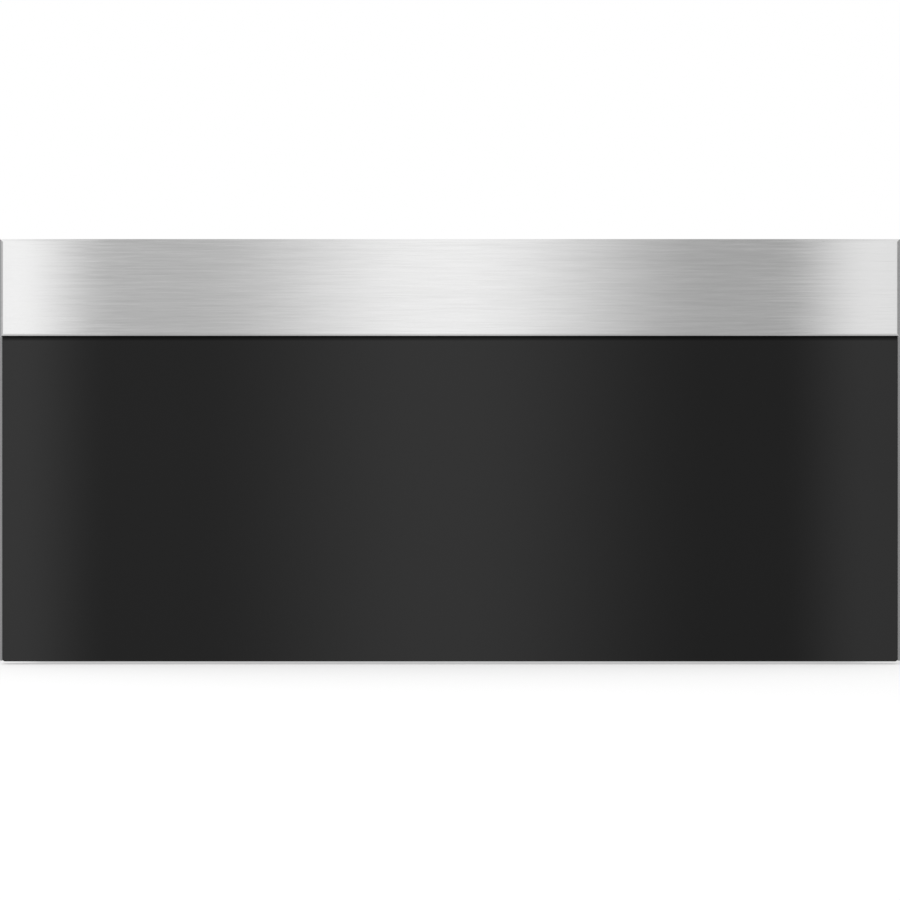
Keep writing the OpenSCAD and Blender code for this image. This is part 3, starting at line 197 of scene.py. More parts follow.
def grain(tree, given):
    """Moulded grain: small round pits, and a slow change of tone across the piece."""
    pits = tree.cells(given["Vector"], given["Scale"], feature="SMOOTH_F1")
    slow = tree.noise(given["Vector"], 14.0, 3.0)
    rough = tree.noise(given["Vector"], tree.times(given["Scale"], 0.4), 4.0)
    height = tree.blend(pits.outputs["Distance"], 0.7, rough, 0.3)
    return tree.remap(tree.blend(slow, 0.7, rough, 0.3), 0.3, 0.7), height


def fibre(tree, given):
    """Felted mineral wool: crossing strands from two stretched noises, and soft lumps."""
    strands = [tree.noise(tree.scaled(given["Vector"], lengths), given["Scale"], 4.0, 0.7)
               for lengths in ((1.0, 0.15, 0.5), (0.15, 1.0, 0.5))]
    lumps = tree.noise(given["Vector"], tree.times(given["Scale"], 0.08), 3.0)
    height = tree.blend(tree.math("MAXIMUM", *strands), 0.6, lumps, 0.4)
    return tree.remap(height, 0.35, 0.75), height


def sheets(tree, given):
    """Stacked thin sheets: narrow grooves at equal steps along the direction that Stretch gives."""
    along = tree.vector("DOT_PRODUCT", given["Vector"], given["Stretch"]).outputs["Value"]
    step = tree.math("PINGPONG", tree.times(along, given["Scale"]), 0.5)
    groove = tree.remap(step, 0.0, 0.18)
    stain = tree.noise(given["Vector"], 60.0, 3.0)
    return tree.times(groove, tree.remap(stain, 0.2, 0.8, 0.6, 1.0)), groove


def circuit(tree, given):
    """Copper runs under the solder mask: square cells whose edges read as tracks, and a weave."""
    cells = tree.cells(given["Vector"], given["Scale"], distance="CHEBYCHEV")
    tree.put(cells.inputs["Randomness"], 0.8)
    steps = tree.math("PINGPONG", tree.times(cells.outputs["Distance"], 4.0), 0.5)
    track = tree.remap(steps, 0.18, 0.3)
    weave = tree.noise(given["Vector"], 900.0, 2.0)
    return tree.blend(track, 0.8, weave, 0.2), track


def smears(tree, given):
    """Wiped glass: long faint streaks of haze and a few specks."""
    wipe = tree.noise(tree.scaled(given["Vector"], (0.35, 1.0, 1.0)), given["Scale"], 5.0, 0.5)
    speck = tree.cells(given["Vector"], 90.0).outputs["Distance"]
    return tree.remap(wipe, 0.35, 0.7), tree.remap(speck, 0.0, 0.05)


def painted_shadow_fall(tree, given):
    """Painted shadow under the band: from 0 in the corner under the band to 1 at the seam's foot,
    with a little unevenness.
    """
    height = tree.parts(given["Vector"])["Z"]
    fall = tree.remap(height, band_low.z - PAINTED_SHADOW_DARKEST, band_low.z - PAINTED_SHADOW_HEIGHT)
    rise = tree.math("POWER", fall, PAINTED_SHADOW_POWER)
    uneven = tree.noise(given["Vector"], 300.0)
    return tree.times(rise, tree.remap(uneven, 0.2, 0.8, 0.9, 1.0)), uneven


LINES = effect("brushed lines", [VECTOR, LENGTHS, scale_input(900.0)], brushing)
CRYSTALS = effect("zinc crystals", [VECTOR, scale_input(110.0)], spangle)
GRAIN = effect("moulded grain", [VECTOR, scale_input(1400.0)], grain)
FIBRE = effect("mineral fibre", [VECTOR, scale_input(700.0)], fibre)
SHEETS = effect("stacked sheets", [VECTOR, LENGTHS, scale_input(1000.0)], sheets)
CIRCUIT = effect("board tracks", [VECTOR, scale_input(160.0)], circuit)
SMEARS = effect("wiped glass", [VECTOR, scale_input(9.0)], smears)
PAINTED_SHADOW_FALL = effect("painted shadow fall", [VECTOR], painted_shadow_fall)


def worn_highlit_edges():
    """A group whose Edge is 1 on outer edges: it compares the true normal with a normal that is
    rounded over Radius. It puts out the rounded Normal too. Edge marks where rubbed wear and a
    painted highlight lighten the colour."""
    inputs = [("Radius", "NodeSocketFloat", 0.001), ("Amount", "NodeSocketFloat", 1.0)]
    outputs = [("Edge", "NodeSocketFloat"), ("Normal", "NodeSocketVector")]
    group, tree, given, results = new_group("worn and highlit edges", inputs, outputs)
    rounded = tree.add("Bevel", {"Radius": given["Radius"]}, samples=4).outputs[0]
    true = tree.add("NewGeometry").outputs["True Normal"]
    edge = tree.remap(tree.vector("DOT_PRODUCT", rounded, true).outputs["Value"], 0.97, 0.75)
    tree.put(results["Edge"], tree.times(edge, given["Amount"]))
    tree.put(results["Normal"], rounded)
    return group


WORN_HIGHLIT_EDGES = worn_highlit_edges()


def new_material(name):
    """A fresh material, its Tree and its nodes."""
    made = bpy.data.materials.new(name)
    made.use_nodes = True
    return made, Tree(made.node_tree), made.node_tree.nodes


def finish(name, group, settings, tones, rough, bump=(0.0, 0.001), edge=None, shift=None,
           gloss=None, **plain):
    """A Principled material. The group's Tone runs between two colours and two roughnesses, and
    its Height is the bump, which has a strength and a depth.

    edge is (radius, amount, colour) for rubbed or bent edges, lightened as wear and as a painted
    highlight, shift moves the pattern so that panels cut from one coil differ, gloss is two
    specular levels that the Tone runs between, and plain sets the shader's own sockets."""
    made, tree, nodes = new_material(name)
    shader = nodes["Principled BSDF"].inputs
    place = tree.object_place()
    if shift:
        place = tree.add("Mapping", {"Vector": place, "Location": shift}).outputs[0]
    pattern = tree.add("Group", node_tree=group)
    for socket, value in {"Vector": place, **settings}.items():
        tree.put(pattern.inputs[socket], value)
    tone, height = pattern.outputs["Tone"], pattern.outputs["Height"]
    colour = tree.mix(tone, *tones)
    normal = None
    if edge:
        radius, amount, bright = edge
        worn_highlit = tree.add("Group", node_tree=WORN_HIGHLIT_EDGES)
        tree.put(worn_highlit.inputs["Radius"], radius)
        tree.put(worn_highlit.inputs["Amount"], amount)
        # Outer edges turn lighter: rubbed wear, and a painted highlight
        colour = tree.mix(worn_highlit.outputs["Edge"], colour, bright)
        normal = worn_highlit.outputs["Normal"]
    tree.put(shader["Base Color"], colour)
    tree.put(shader["Roughness"], tree.remap(tone, 0.0, 1.0, *rough))
    if gloss:
        tree.put(shader["Specular IOR Level"], tree.remap(tone, 0.0, 1.0, *gloss))
    if bump[0]:
        raised = tree.add("Bump", {"Strength": bump[0], "Distance": bump[1], "Height": height})
        if normal is not None:
            tree.put(raised.inputs["Normal"], normal)
        normal = raised.outputs["Normal"]
    if normal is not None:
        tree.put(shader["Normal"], normal)
    for socket, value in plain.items():
        shader[socket.replace("_", " ")].default_value = value
    return made


def grey(value, warm=0.0):
    """A grey, made a little warmer or cooler."""
    return (value * (1 + warm), value, value * (1 - warm))


def directed(stretch, scale):
    """The settings of an effect with a direction: a factor on each axis, and how fine it is."""
    return {"Stretch": stretch, "Scale": scale}


# Lines run long where the factor is small
ALONG_X = (0.02, 1.0, 1.0)
ALONG_Y = (1.0, 0.02, 1.0)
ALONG_Z = (1.0, 1.0, 0.02)
METAL = {"Metallic": 1.0}


def satin(name, stretch):
    """Satin stainless sheet, with its lines along the direction that the stretch leaves long."""
    return finish(name, LINES, directed(stretch, 1000.0), (grey(0.66, 0.01), grey(0.76, 0.01)),
                  (0.36, 0.46), (0.18, 0.0001), (0.0006, 0.5, grey(0.86)), Metallic=0.82)


def zinc(name, level, shift=None):
    """Galvanised sheet, a little lighter or darker than its neighbours."""
    tones = (grey(0.46 * level, -0.02), grey(0.68 * level, -0.02))
    return finish(name, CRYSTALS, {"Scale": 130.0}, tones, (0.34, 0.5), (0.12, 0.0001),
                  (0.0008, 0.5, grey(0.76)), shift, Metallic=0.95)


finishes = {
    "stainless_brushed": finish(
        "brushed stainless", LINES, directed((0.03, 1.0, 1.0), 900.0), (grey(0.835), grey(1.0)),
        (0.03, 0.145), (0.05, 0.0001), **METAL, Anisotropic=0.95, Anisotropic_Rotation=0.25),
    "stainless_sheet": satin("satin stainless", ALONG_Y),
    "stainless_across": satin("satin stainless, across", ALONG_X),
    "galvanised_steel": zinc("galvanised steel", 1.0),
    "galvanised_top": zinc("galvanised top", 1.03, (0.31, 0.17, 0.05)),
    "galvanised_left": zinc("galvanised left side", 0.98, (0.13, 0.41, 0.23)),
    "galvanised_right": zinc("galvanised right side", 1.01, (0.57, 0.29, 0.11)),
    "galvanised_back": zinc("galvanised back", 0.96, (0.23, 0.07, 0.37)),
    "carrier_steel": finish(
        "passivated steel", LINES, directed(ALONG_X, 500.0), (grey(0.26), grey(0.34)),
        (0.38, 0.5), (0.12, 0.0001), (0.0006, 0.4, grey(0.5)), **METAL),
    "zinc_runner": finish(
        "bright zinc", LINES, directed(ALONG_Y, 700.0), (grey(0.56, -0.03), grey(0.70, -0.03)),
        (0.22, 0.34), (0.12, 0.0001), (0.0005, 0.5, grey(0.84)), **METAL),
    "cage_steel": finish(
        "cage zinc", GRAIN, {"Scale": 900.0}, (grey(0.42), grey(0.58)),
        (0.18, 0.3), (0.05, 0.0001), **METAL),
    "zinc_screw": finish(
        "plated screw", GRAIN, {"Scale": 1800.0}, (grey(0.50), grey(0.70)),
        (0.22, 0.36), (0.08, 0.0001), (0.0003, 0.6, grey(0.85)), **METAL),
    "chrome_wire": finish(
        "bright chrome", LINES, directed(ALONG_Y, 260.0), (grey(0.74), grey(0.82)),
        (0.05, 0.11), (0.03, 0.0001), **METAL),
    "spring_steel": finish(
        "spring wire", GRAIN, {"Scale": 1500.0}, (grey(0.40), grey(0.58)),
        (0.2, 0.34), (0.05, 0.0001), **METAL),
    "fan_aluminium": finish(
        "pressed aluminium", LINES, directed(ALONG_X, 500.0), (grey(0.62), grey(0.76)),
        (0.28, 0.4), (0.15, 0.0001), (0.0005, 0.4, grey(0.85)), **METAL),
    "core_steel": finish(
        "laminated core", SHEETS, directed((0.0, 1.0, 0.0), 1000.0), (grey(0.03), grey(0.20, 0.03)),
        (0.4, 0.55), (0.5, 0.0002), **METAL),
    "heater_sheath": finish(
        "annealed sheath", GRAIN, {"Scale": 500.0}, ((0.10, 0.085, 0.07), (0.24, 0.20, 0.17)),
        (0.38, 0.55), (0.1, 0.0002), **METAL),
    "coil_copper": finish(
        "enamelled copper", GRAIN, {"Scale": 600.0}, ((0.50, 0.17, 0.06), (0.66, 0.27, 0.10)),
        (0.25, 0.35), **METAL, Coat_Weight=0.6),
    "trim_metal": finish(
        "satin trim", LINES, directed(ALONG_Z, 900.0), (grey(0.42), grey(0.47)),
        (0.3, 0.4), (0.08, 0.0001), **METAL),
    "black_glass": finish(
        "black glass", SMEARS, {}, (grey(0.0012), grey(0.0018)),
        (0.018, 0.03), IOR=1.5, Specular_IOR_Level=0.465),
    "rubber_black": finish(
        "black rubber", GRAIN, {"Scale": 1500.0}, (grey(0.012), grey(0.024)),
        (0.55, 0.75), (0.35, 0.0002), (0.0005, 0.4, grey(0.04))),
    "mat_rubber": finish(
        "grey mat rubber", GRAIN, {"Scale": 2200.0}, (grey(0.050, 0.01), grey(0.075, 0.01)),
        (0.5, 0.65), (0.3, 0.0001)),
    "plastic_black": finish(
        "black moulding", GRAIN, {"Scale": 1300.0}, (grey(0.014), grey(0.022)),
        (0.38, 0.5), (0.25, 0.0001), (0.0005, 0.5, grey(0.05))),
    "plastic_white": finish(
        "white moulding", GRAIN, {"Scale": 1300.0}, (grey(0.66, 0.02), grey(0.74, 0.015)),
        (0.38, 0.5), (0.2, 0.0001), (0.0005, 0.5, grey(0.82))),
    "mineral_fibre": finish(
        "mineral fibre", FIBRE, {}, ((0.36, 0.30, 0.16), (0.66, 0.60, 0.42)),
        (0.85, 0.95), (0.9, 0.0012)),
    "board_green": finish(
        "solder mask", CIRCUIT, {}, ((0.006, 0.075, 0.028), (0.016, 0.16, 0.06)),
        (0.28, 0.4), (0.3, 0.0001)),
    "component_black": finish(
        "moulded parts", GRAIN, {"Scale": 1600.0}, (grey(0.012), grey(0.022)),
        (0.35, 0.5), (0.2, 0.0001), (0.0004, 0.5, grey(0.06))),
    # These two are only on pieces made here. The sealant paints the band's shadow on the glass: its
    # colour and gloss are lowest under the band, and its gloss rises to the glass's own.
    "painted_shadow_sealant": finish(
        "painted shadow sealant", PAINTED_SHADOW_FALL, {}, (grey(0.0002), grey(0.0015)),
        (0.06, 0.03), gloss=(0.19, 0.465), IOR=1.5),
    "printed_mark": finish(
        "printed mark", GRAIN, {"Scale": 3000.0}, (grey(0.45), grey(0.52)), (0.4, 0.5)),
}
node_slots = {part["node"]: part["material_slot"] for part in record["subparts"]}


def dress(piece, slot):
    """The piece gets its finish as its only material."""
    piece.data.materials.clear()
    piece.data.materials.append(finishes[slot])


# Sheets that are brushed from side to side, and zinc panels cut from other places of the coil
special = {
    "drawer_back": "stainless_across", "drawer_front_inner": "stainless_across",
    "front_frame": "stainless_across", "air_baffle": "stainless_across",
    "casing_top": "galvanised_top", "casing_side_left": "galvanised_left",
    "casing_side_right": "galvanised_right", "casing_back": "galvanised_back"}
for node, piece in frame["nodes"].items():
    dress(piece, special.get(node, node_slots[node]))


# ---------------------------------------------------------------- surfaces
def mesh_object(name, points, faces):
    """An object at the origin with a mesh of points and faces."""
    mesh = bpy.data.meshes.new(name)
    corners = np.array(points, float).reshape(-1, 3).tolist()
    mesh.from_pydata(corners, [], [list(face) for face in faces])
    made = bpy.data.objects.new(name, mesh)
    bpy.context.scene.collection.objects.link(made)
    return made


def new_piece(name, points, faces, body, slot, replaced=(), smooth=True):
    """A mesh piece, which rides on a body and stands for the replaced nodes."""
    piece = mesh_object(name, points, faces)
    polygons = piece.data.polygons
    polygons.foreach_set("use_smooth", np.full(len(polygons), smooth))
    piece.data.validate()
    dress(piece, slot)
    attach(piece, body)
    if replaced:
        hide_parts(*replaced)
    return piece


def grid_faces(rows, columns, wrap_rows=False, wrap_columns=True):
    """Four-cornered faces over a grid of points, row after row, closed where it wraps."""
    r = np.arange(rows if wrap_rows else rows - 1)[:, None]
    c = np.arange(columns if wrap_columns else columns - 1)[None, :]
    down, across = (r + 1) % rows, (c + 1) % columns
    corners = [r * columns + c, r * columns + across,
               down * columns + across, down * columns + c]
    return np.stack(np.broadcast_arrays(*corners), -1).reshape(-1, 4)


def capped(rows, columns):
    """The faces of a closed loop of points carried along rows, with a flat face over each end."""
    ends = [list(range(columns))[::-1], list(range((rows - 1) * columns, rows * columns))]
    return grid_faces(rows, columns).tolist() + ends


# The steps in which a rounded corner turns
CORNER_STEPS = 7


def ways(angle):
    """The directions that lie at these angles from the first axis."""
    return np.stack([np.cos(angle), np.sin(angle)], -1)


def corner_walk(half_a, half_b, steps):
    """Goes round a rectangle anticlockwise and turns by a quarter at each corner, in equal steps.

    Returns, for every step, the corner's place, the direction faced and the corner's signs."""
    turn = np.linspace(0.0, math.pi / 2, steps)
    quarter = np.arange(4)[:, None] * math.pi / 2
    signs = np.repeat([(1, 1), (-1, 1), (-1, -1), (1, -1)], steps, axis=0)
    return signs * (half_a, half_b), ways((quarter + turn[None, :]).reshape(-1)), signs


def rounded_ring(half_a, half_b, radii, inset):
    """One ring of a rounded rectangle: each point is its arc's centre plus (radius - inset)
    times the direction.

    The inset moves the whole ring inwards. An arc whose radius is used up becomes a sharp
    corner."""
    corners, directions, signs = corner_walk(half_a, half_b, CORNER_STEPS)
    radius = np.repeat(radii, CORNER_STEPS)[:, None]
    left = np.maximum(radius - inset, 0.0)
    return corners - signs * radius + left * directions - signs * np.maximum(inset - radius, 0.0)


def rounded_rim(thick, radius, steps):
    """A plate's (inset, height) pairs: straight up, then a quarter circle over the top edge."""
    turn = np.linspace(0.0, math.pi / 2, steps)
    return [(0.0, 0.0)] + [(radius * (1 - math.cos(a)), thick - radius + radius * math.sin(a))
                           for a in turn]


def plate(name, origin, axes, half_a, half_b, radii, profile, body, slot, replaced):
    """A flat plate with a shaped rim: rings of the profile's (inset, height) pairs, closed by two
    flat faces.

    axes are the plate's right, up and outward directions. radii are its corners', anticlockwise
    from the upper right one."""
    around = 4 * CORNER_STEPS
    rings = [np.column_stack([rounded_ring(half_a, half_b, radii, inset),
                              np.full(around, height)]) for inset, height in profile]
    points = np.array(origin) + np.concatenate(rings) @ np.array(axes, float)
    faces = capped(len(profile), around)
    piece = new_piece(name, points, faces, body, slot, replaced)
    smooth = np.ones(len(faces), bool)
    smooth[-2:] = False
    piece.data.polygons.foreach_set("use_smooth", smooth)
    return piece


def glass_pane():
    """The front's black glass: flat faces, and a polished front edge like a quarter circle."""
    low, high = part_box("front_glass")
    half_a, half_b = (high.x - low.x) / 2, (high.z - low.z) / 2
    upper, lower, edge = 0.4 * MM, 2.0 * MM, 0.45 * MM
    middle = (0.0, high.y, (low.z + high.z) / 2)
    facing_front = ((1, 0, 0), (0, 0, 1), (0, -1, 0))
    plate("glass_pane", middle, facing_front, half_a, half_b, (upper, upper, lower, lower),
          rounded_rim(high.y - low.y, edge, steps=6), "drawer", "black_glass", ["front_glass"])


def painted_shadow_bead():
    """The black sealant in the corner under the band, which paints the band's shadow on the glass:
    a hollow quarter curve from the band's edge to the glass.

    Across it, depth falls as the square of what is left of its height."""
    glass_low, glass_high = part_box("front_glass")
    thick, tucked, raised, short, sunk = 0.4 * MM, 0.05 * MM, 0.01 * MM, 0.1 * MM, 0.5 * MM
    stations, steps = 60, 9
    share = np.linspace(0.0, 1.0, steps)
    x = np.linspace(glass_low.x + short, glass_high.x - short, stations)[:, None]
    y = glass_low.y - thick * (1 - share) ** 2 - raised
    z = band_low.z + tucked - PAINTED_SHADOW_HEIGHT * share
    front = np.stack(np.broadcast_arrays(x, y, z), -1)
    back = np.stack(np.broadcast_arrays(x, np.full(steps, glass_low.y + sunk), z[::-1]), -1)
    loop = np.concatenate([front, back], 1)
    faces = capped(*loop.shape[:2])
    # The bead's dark colour is painted shadow of the band on the glass
    new_piece("painted_shadow_bead", loop, faces, "drawer", "painted_shadow_sealant", smooth=False)


def pip_mat():
    """The drawer's rubber mat: a thin plate with a rounded rim, and rows of low round pips on it.

    A pip's radius falls with the cosine and its height rises with the sine of one angle. Its
    foot is sunk a little into the plate, and each row is set off by half a pitch."""
    low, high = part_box("antislip_mat")
    half_a, half_b = (high.x - low.x) / 2, (high.y - low.y) / 2
    corner, rim, pip_height, sunk = 8 * MM, 0.6 * MM, 0.7 * MM, 0.05 * MM
    pitch, radius, sides = 8.0 * MM, 2.3 * MM, 8
    row_pitch = pitch * math.sqrt(0.75)
    top = high.z - low.z
    base = top - pip_height
    middle = ((low.x + high.x) / 2, (low.y + high.y) / 2, low.z)
    lying_flat = ((1, 0, 0), (0, 1, 0), (0, 0, 1))
    mat = plate("drawer_mat", middle, lying_flat, half_a, half_b, (corner,) * 4,
                rounded_rim(base, rim, steps=4), "drawer", "mat_rubber", ["antislip_mat"])

    rows = int((2 * half_b - pitch) / row_pitch) + 1
    columns = int((2 * half_a - 1.5 * pitch) / pitch) + 1
    j, i = np.mgrid[0:rows, 0:columns]
    x = middle[0] + (i - (columns - 1) / 2 + 0.25 * (-1.0) ** j) * pitch
    y = middle[1] + (j - (rows - 1) / 2) * row_pitch
    places = np.stack([x, y, np.full(x.shape, low.z)], -1).reshape(-1, 1, 3)

    lift = np.array([0.0, 0.35, 0.68]) * math.pi / 2
    out = radius * np.cos(lift)[:, None, None] * ways(np.arange(sides) * 2 * math.pi / sides)
    up = base - sunk + (top - base) * np.sin(lift)
    rings = np.concatenate([out, np.broadcast_to(up[:, None, None], (len(lift), sides, 1))], -1)
    dome = np.concatenate([rings.reshape(-1, 3), [[0.0, 0.0, top]]])
    last_ring = (len(lift) - 1) * sides
    side, tip = np.arange(sides), np.full(sides, len(dome) - 1)
    fan = np.stack([last_ring + side, last_ring + (side + 1) % sides, tip], -1)
    shift = (np.arange(len(places)) * len(dome))[:, None, None]
    faces = [face for part in (grid_faces(len(lift), sides), fan, side[None, ::-1])
             for face in (part[None] + shift).reshape(-1, part.shape[1])]
    pips = new_piece("mat_pips", places + dome, faces, "drawer", "mat_rubber")
    pips.parent = mat


# The door seal's section: (height above the step, depth from the plate) in millimetres, from the
# foot's front edge over the lip to its rear edge
LIP = ((0.05, 0.1), (1.2, 0.1), (1.6, 0.5), (1.7, 1.6), (2.0, 2.6), (3.0, 3.4), (4.2, 3.9),
       (5.1, 4.5), (5.5, 5.2), (5.4, 5.9), (4.9, 6.2), (4.3, 5.7), (3.4, 5.4), (2.4, 5.6),
       (1.8, 6.2), (1.6, 7.2), (1.3, 7.8), (0.8, 8.0), (0.05, 8.0))


def lip_seal():
    """The drawer's door seal: a foot with a soft lip that leans out, carried round the step.

    The ring is a rectangle at every height h above the step, with its corners turned on a radius
    of h."""
    low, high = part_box("drawer_seal")
    reach = max(height for height, _ in LIP) * MM
    half_a, half_b = (high.x - low.x) / 2 - reach, (high.z - low.z) / 2 - reach
    middle = np.array([0.0, low.y, (low.z + high.z) / 2])
    corners, directions, _ = corner_walk(half_a, half_b, steps=10)
    height, depth = (np.array(LIP) * MM).T[:, :, None]
    across = corners + height[..., None] * directions
    depth = np.broadcast_to(depth, across.shape[:2])
    points = middle + np.stack([across[..., 0], depth, across[..., 1]], -1)
    faces = grid_faces(len(LIP), len(corners), wrap_rows=True)[:, ::-1]
    new_piece("lip_seal", points, faces, "drawer", "rubber_black", ["drawer_seal"])


# The wool's unevenness: two crossing waves and a shorter one, each in radians per metre of x, y, z
CROSSING_WAVES = ((61.0, 37.0, 83.0), (-43.0, 71.0, 29.0))
SHORT_WAVE = (157.0, 131.0, 173.0)


def soft_block(name, low, high, radius, spacing, lumps, body, slot, replaced=()):
    """A block with rounded edges and an uneven skin.

    Each face is a grid. A point is held inside the block shrunk by the radius, then set back out
    by the radius along the way it came, which rounds the edges. Two crossing sine waves and a
    shorter one then press the skin in."""
    low, high = np.array(low, float), np.array(high, float)
    radius = min(radius, 0.45 * float((high - low).min()))
    steps = []
    for a, b in zip(low, high):
        count = max(2, int((b - a - 2 * radius) / spacing) + 1)
        inside = np.linspace(a + radius, b - radius, count)
        steps.append(np.concatenate([[a, a + 0.3 * radius], inside, [b - 0.3 * radius, b]]))
    points, faces, start = [], [], 0
    for axis in range(3):
        one, two = (axis + 1) % 3, (axis + 2) % 3
        u, v = np.meshgrid(steps[one], steps[two], indexing="ij")
        for side, level in enumerate((low[axis], high[axis])):
            p = np.empty(u.shape + (3,))
            p[..., axis], p[..., one], p[..., two] = level, u, v
            f = grid_faces(*u.shape, wrap_columns=False) + start
            faces.append(f[:, ::-1] if side else f)
            points.append(p.reshape(-1, 3))
            start += u.size
    p, f = np.concatenate(points), np.concatenate(faces)
    same = np.round(p * 1e6).astype(int)
    _, first, where = np.unique(same, axis=0, return_index=True, return_inverse=True)
    p, f = p[first], where.reshape(-1)[f]
    held = np.clip(p, low + radius, high - radius)
    out = p - held
    normal = out / np.maximum(np.linalg.norm(out, axis=1, keepdims=True), 1e-9)
    crossing = np.sin(p @ CROSSING_WAVES[0]) * np.sin(p @ CROSSING_WAVES[1])
    wave = crossing + np.sin(p @ SHORT_WAVE) * 0.4
    press = lumps * (0.5 + 0.35 * wave)[:, None]
    new_piece(name, held + (radius - press) * normal, f, body, slot, replaced)


def felt_slabs():
    """The mineral-fibre slabs in the roof, in both sides and in the front."""
    low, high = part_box("insulation_top")
    soft_block("roof_wool", low, high, 4 * MM, 12 * MM, 1.2 * MM,
               "housing", "mineral_fibre", ["insulation_top"])
    low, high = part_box("insulation_sides")
    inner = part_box("liner_side_right")[1].x
    soft_block("right_wool", (inner, low.y, low.z), high, 3 * MM, 12 * MM, 1.0 * MM,
               "housing", "mineral_fibre", ["insulation_sides"])
    soft_block("left_wool", low, (-inner, high.y, high.z), 3 * MM, 12 * MM, 1.0 * MM,
               "housing", "mineral_fibre")
    low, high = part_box("front_insulation")
    soft_block("front_wool", low, high, 4 * MM, 10 * MM, 1.5 * MM,
               "drawer", "mineral_fibre", ["front_insulation"])


def motor_winding():
    """The motor's coil: wire wound round the core's foot, with the foot's window left open.

    Round the coil the section is a rounded rectangle, and along it half-round ripples, one a
    turn of wire."""
    low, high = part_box("motor_coil")
    wire, wall, corner, window_corner = 0.9 * MM, 3.6 * MM, 4 * MM, 0.5 * MM
    depth, steps_a_turn = 0.35 * wire, 8
    along = np.linspace(low.x, high.x, steps_a_turn * int((high.x - low.x) / wire) + 1)
    ripple = depth * (1 - np.abs(np.sin(math.pi * (along - low.x) / wire)))
    half_a, half_b = (high.y - low.y) / 2, (high.z - low.z) / 2
    outer = [rounded_ring(half_a, half_b, (corner,) * 4, inset) for inset in ripple]
    inner = rounded_ring(half_a - wall, half_b - wall, (window_corner,) * 4, 0.0)
    rings = [inner, *outer, inner]
    x = np.concatenate([[low.x], along, [high.x]])
    middle = np.array([0.0, (low.y + high.y) / 2, (low.z + high.z) / 2])
    points = np.stack([np.column_stack([np.full(len(ring), at), ring])
                       for at, ring in zip(x, rings)]) + middle
    faces = grid_faces(len(rings), points.shape[1], wrap_rows=True)
    new_piece("motor_winding", points, faces, "housing", "coil_copper", ["motor_coil"])


# The touch strip's marks: how far right of the middle each stands, in millimetres, and the points
# along an arc
POWER_X, HEAT_X, HEAT_PITCH, TIME_X = -190.0, -60.0, 14.0, 120.0
ARC_POINTS = 40


def touch_marks():
    """Generic marks printed on the touch glass: an open ring with a bar for on and off, four dots
    that grow for the heat, and a ring with two hands for the time.

    Each mark is a thin closed band: a four-cornered section carried along an arc or a straight
    line. Its sizes are in millimetres."""
    low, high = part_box("control_glass")
    y, foot, top = (low.y + high.y) / 2, high.z + 0.005 * MM, high.z + 0.04 * MM
    points, faces = [], []

    def band(outer, inner, closed):
        """The strip between two rows of points, as a closed ring or with two ends."""
        section = np.stack([inner, outer, outer, inner], 1) * MM + (0.0, y)
        heights = np.broadcast_to([top, top, foot, foot], section.shape[:2])[..., None]
        start = sum(len(part) for part in points)
        points.append(np.concatenate([section, heights], -1).reshape(-1, 3))
        rows = len(outer)
        made = grid_faces(rows, 4, wrap_rows=True).tolist() if closed else capped(rows, 4)
        faces.extend([[corner + start for corner in face] for face in made])

    def arc(x, radius, width, start=0.0, span=None):
        """A ring, or the part of it that the span covers from the start."""
        end = start + (span or 2 * math.pi)
        way = ways(np.linspace(start, end, ARC_POINTS, endpoint=bool(span)))
        outer, inner = radius + width / 2, max(radius - width / 2, 0.04)
        band(way * outer + (x, 0), way * inner + (x, 0), not span)

    def bar(x, up, width, height, turn=0.0):
        """A straight bar that starts at (x, up) and leans to the right by the turn."""
        along = np.array([[0.0], [height]]) * (math.sin(turn), math.cos(turn))
        aside = np.array([math.cos(turn), -math.sin(turn)]) * width / 2
        band(along + aside + (x, up), along - aside + (x, up), False)

    arc(POWER_X, 4.0, 0.7, math.radians(120), math.radians(300))
    bar(POWER_X, 1.0, 0.7, 4.2)
    for step in range(4):
        arc(HEAT_X + HEAT_PITCH * step, 0.6 + 0.35 * step, 1.2 + 0.7 * step)
    arc(TIME_X, 4.0, 0.6)
    bar(TIME_X, 0.0, 0.6, 2.8)
    bar(TIME_X, 0.0, 0.6, 2.0, math.pi / 2)
    new_piece("touch_marks", np.concatenate(points), faces, "drawer", "printed_mark", smooth=False)


glass_pane()
painted_shadow_bead()
pip_mat()
lip_seal()
felt_slabs()
motor_winding()
touch_marks()


# ---------------------------------------------------------------- studio
FLOOR_REACH, FLOOR_COLOUR, FLOOR_LIFT = 12.0, 0.62, 0.46
LAMP_LEVEL = 0.72
CAMERA_DISTANCE, CAMERA_LIFT, SENSOR = 3.0, 0.00015, 36.0
FRONT_SHARE = 1.0012  # the front's width as a share of the picture's
CARD_DISTANCE, CARD_LOW, CARD_HIGH = 3.3, -0.9, 1.2
CARD_SPREAD = 1.04  # the card's width as a share of what the front mirrors of it
# The card darkens towards its foot: two heights, and its share of brightness at each
CARD_FALL = (-0.15, 0.3, 0.94, 1.0)
SHELL_RADIUS = 4.4
BLACK, WHITE = (0.0, 0.0, 0.0), (1.0, 1.0, 1.0)

# Two soft shades over the front: share of the front's width, and how bright the card is there
SHADE = ((0.015, 1.0), (0.125, 0.484), (0.205, 0.487), (0.478, 0.914), (0.506, 0.914),
         (0.80, 0.405), (0.865, 0.405), (0.965, 0.825))
# The shell round the studio, level with the front: how far round, in turns from behind over the
# left, the front and the right, and how bright it is there
WAVES = ((0.0, 0.80), (0.08, 0.72), (0.18, 0.225), (0.25, 0.24), (0.333, 0.50), (0.447, 0.49),
         (0.50, 0.60), (0.553, 0.39), (0.667, 0.31), (0.75, 0.23), (0.82, 0.21), (0.92, 0.72),
         (1.0, 0.80))
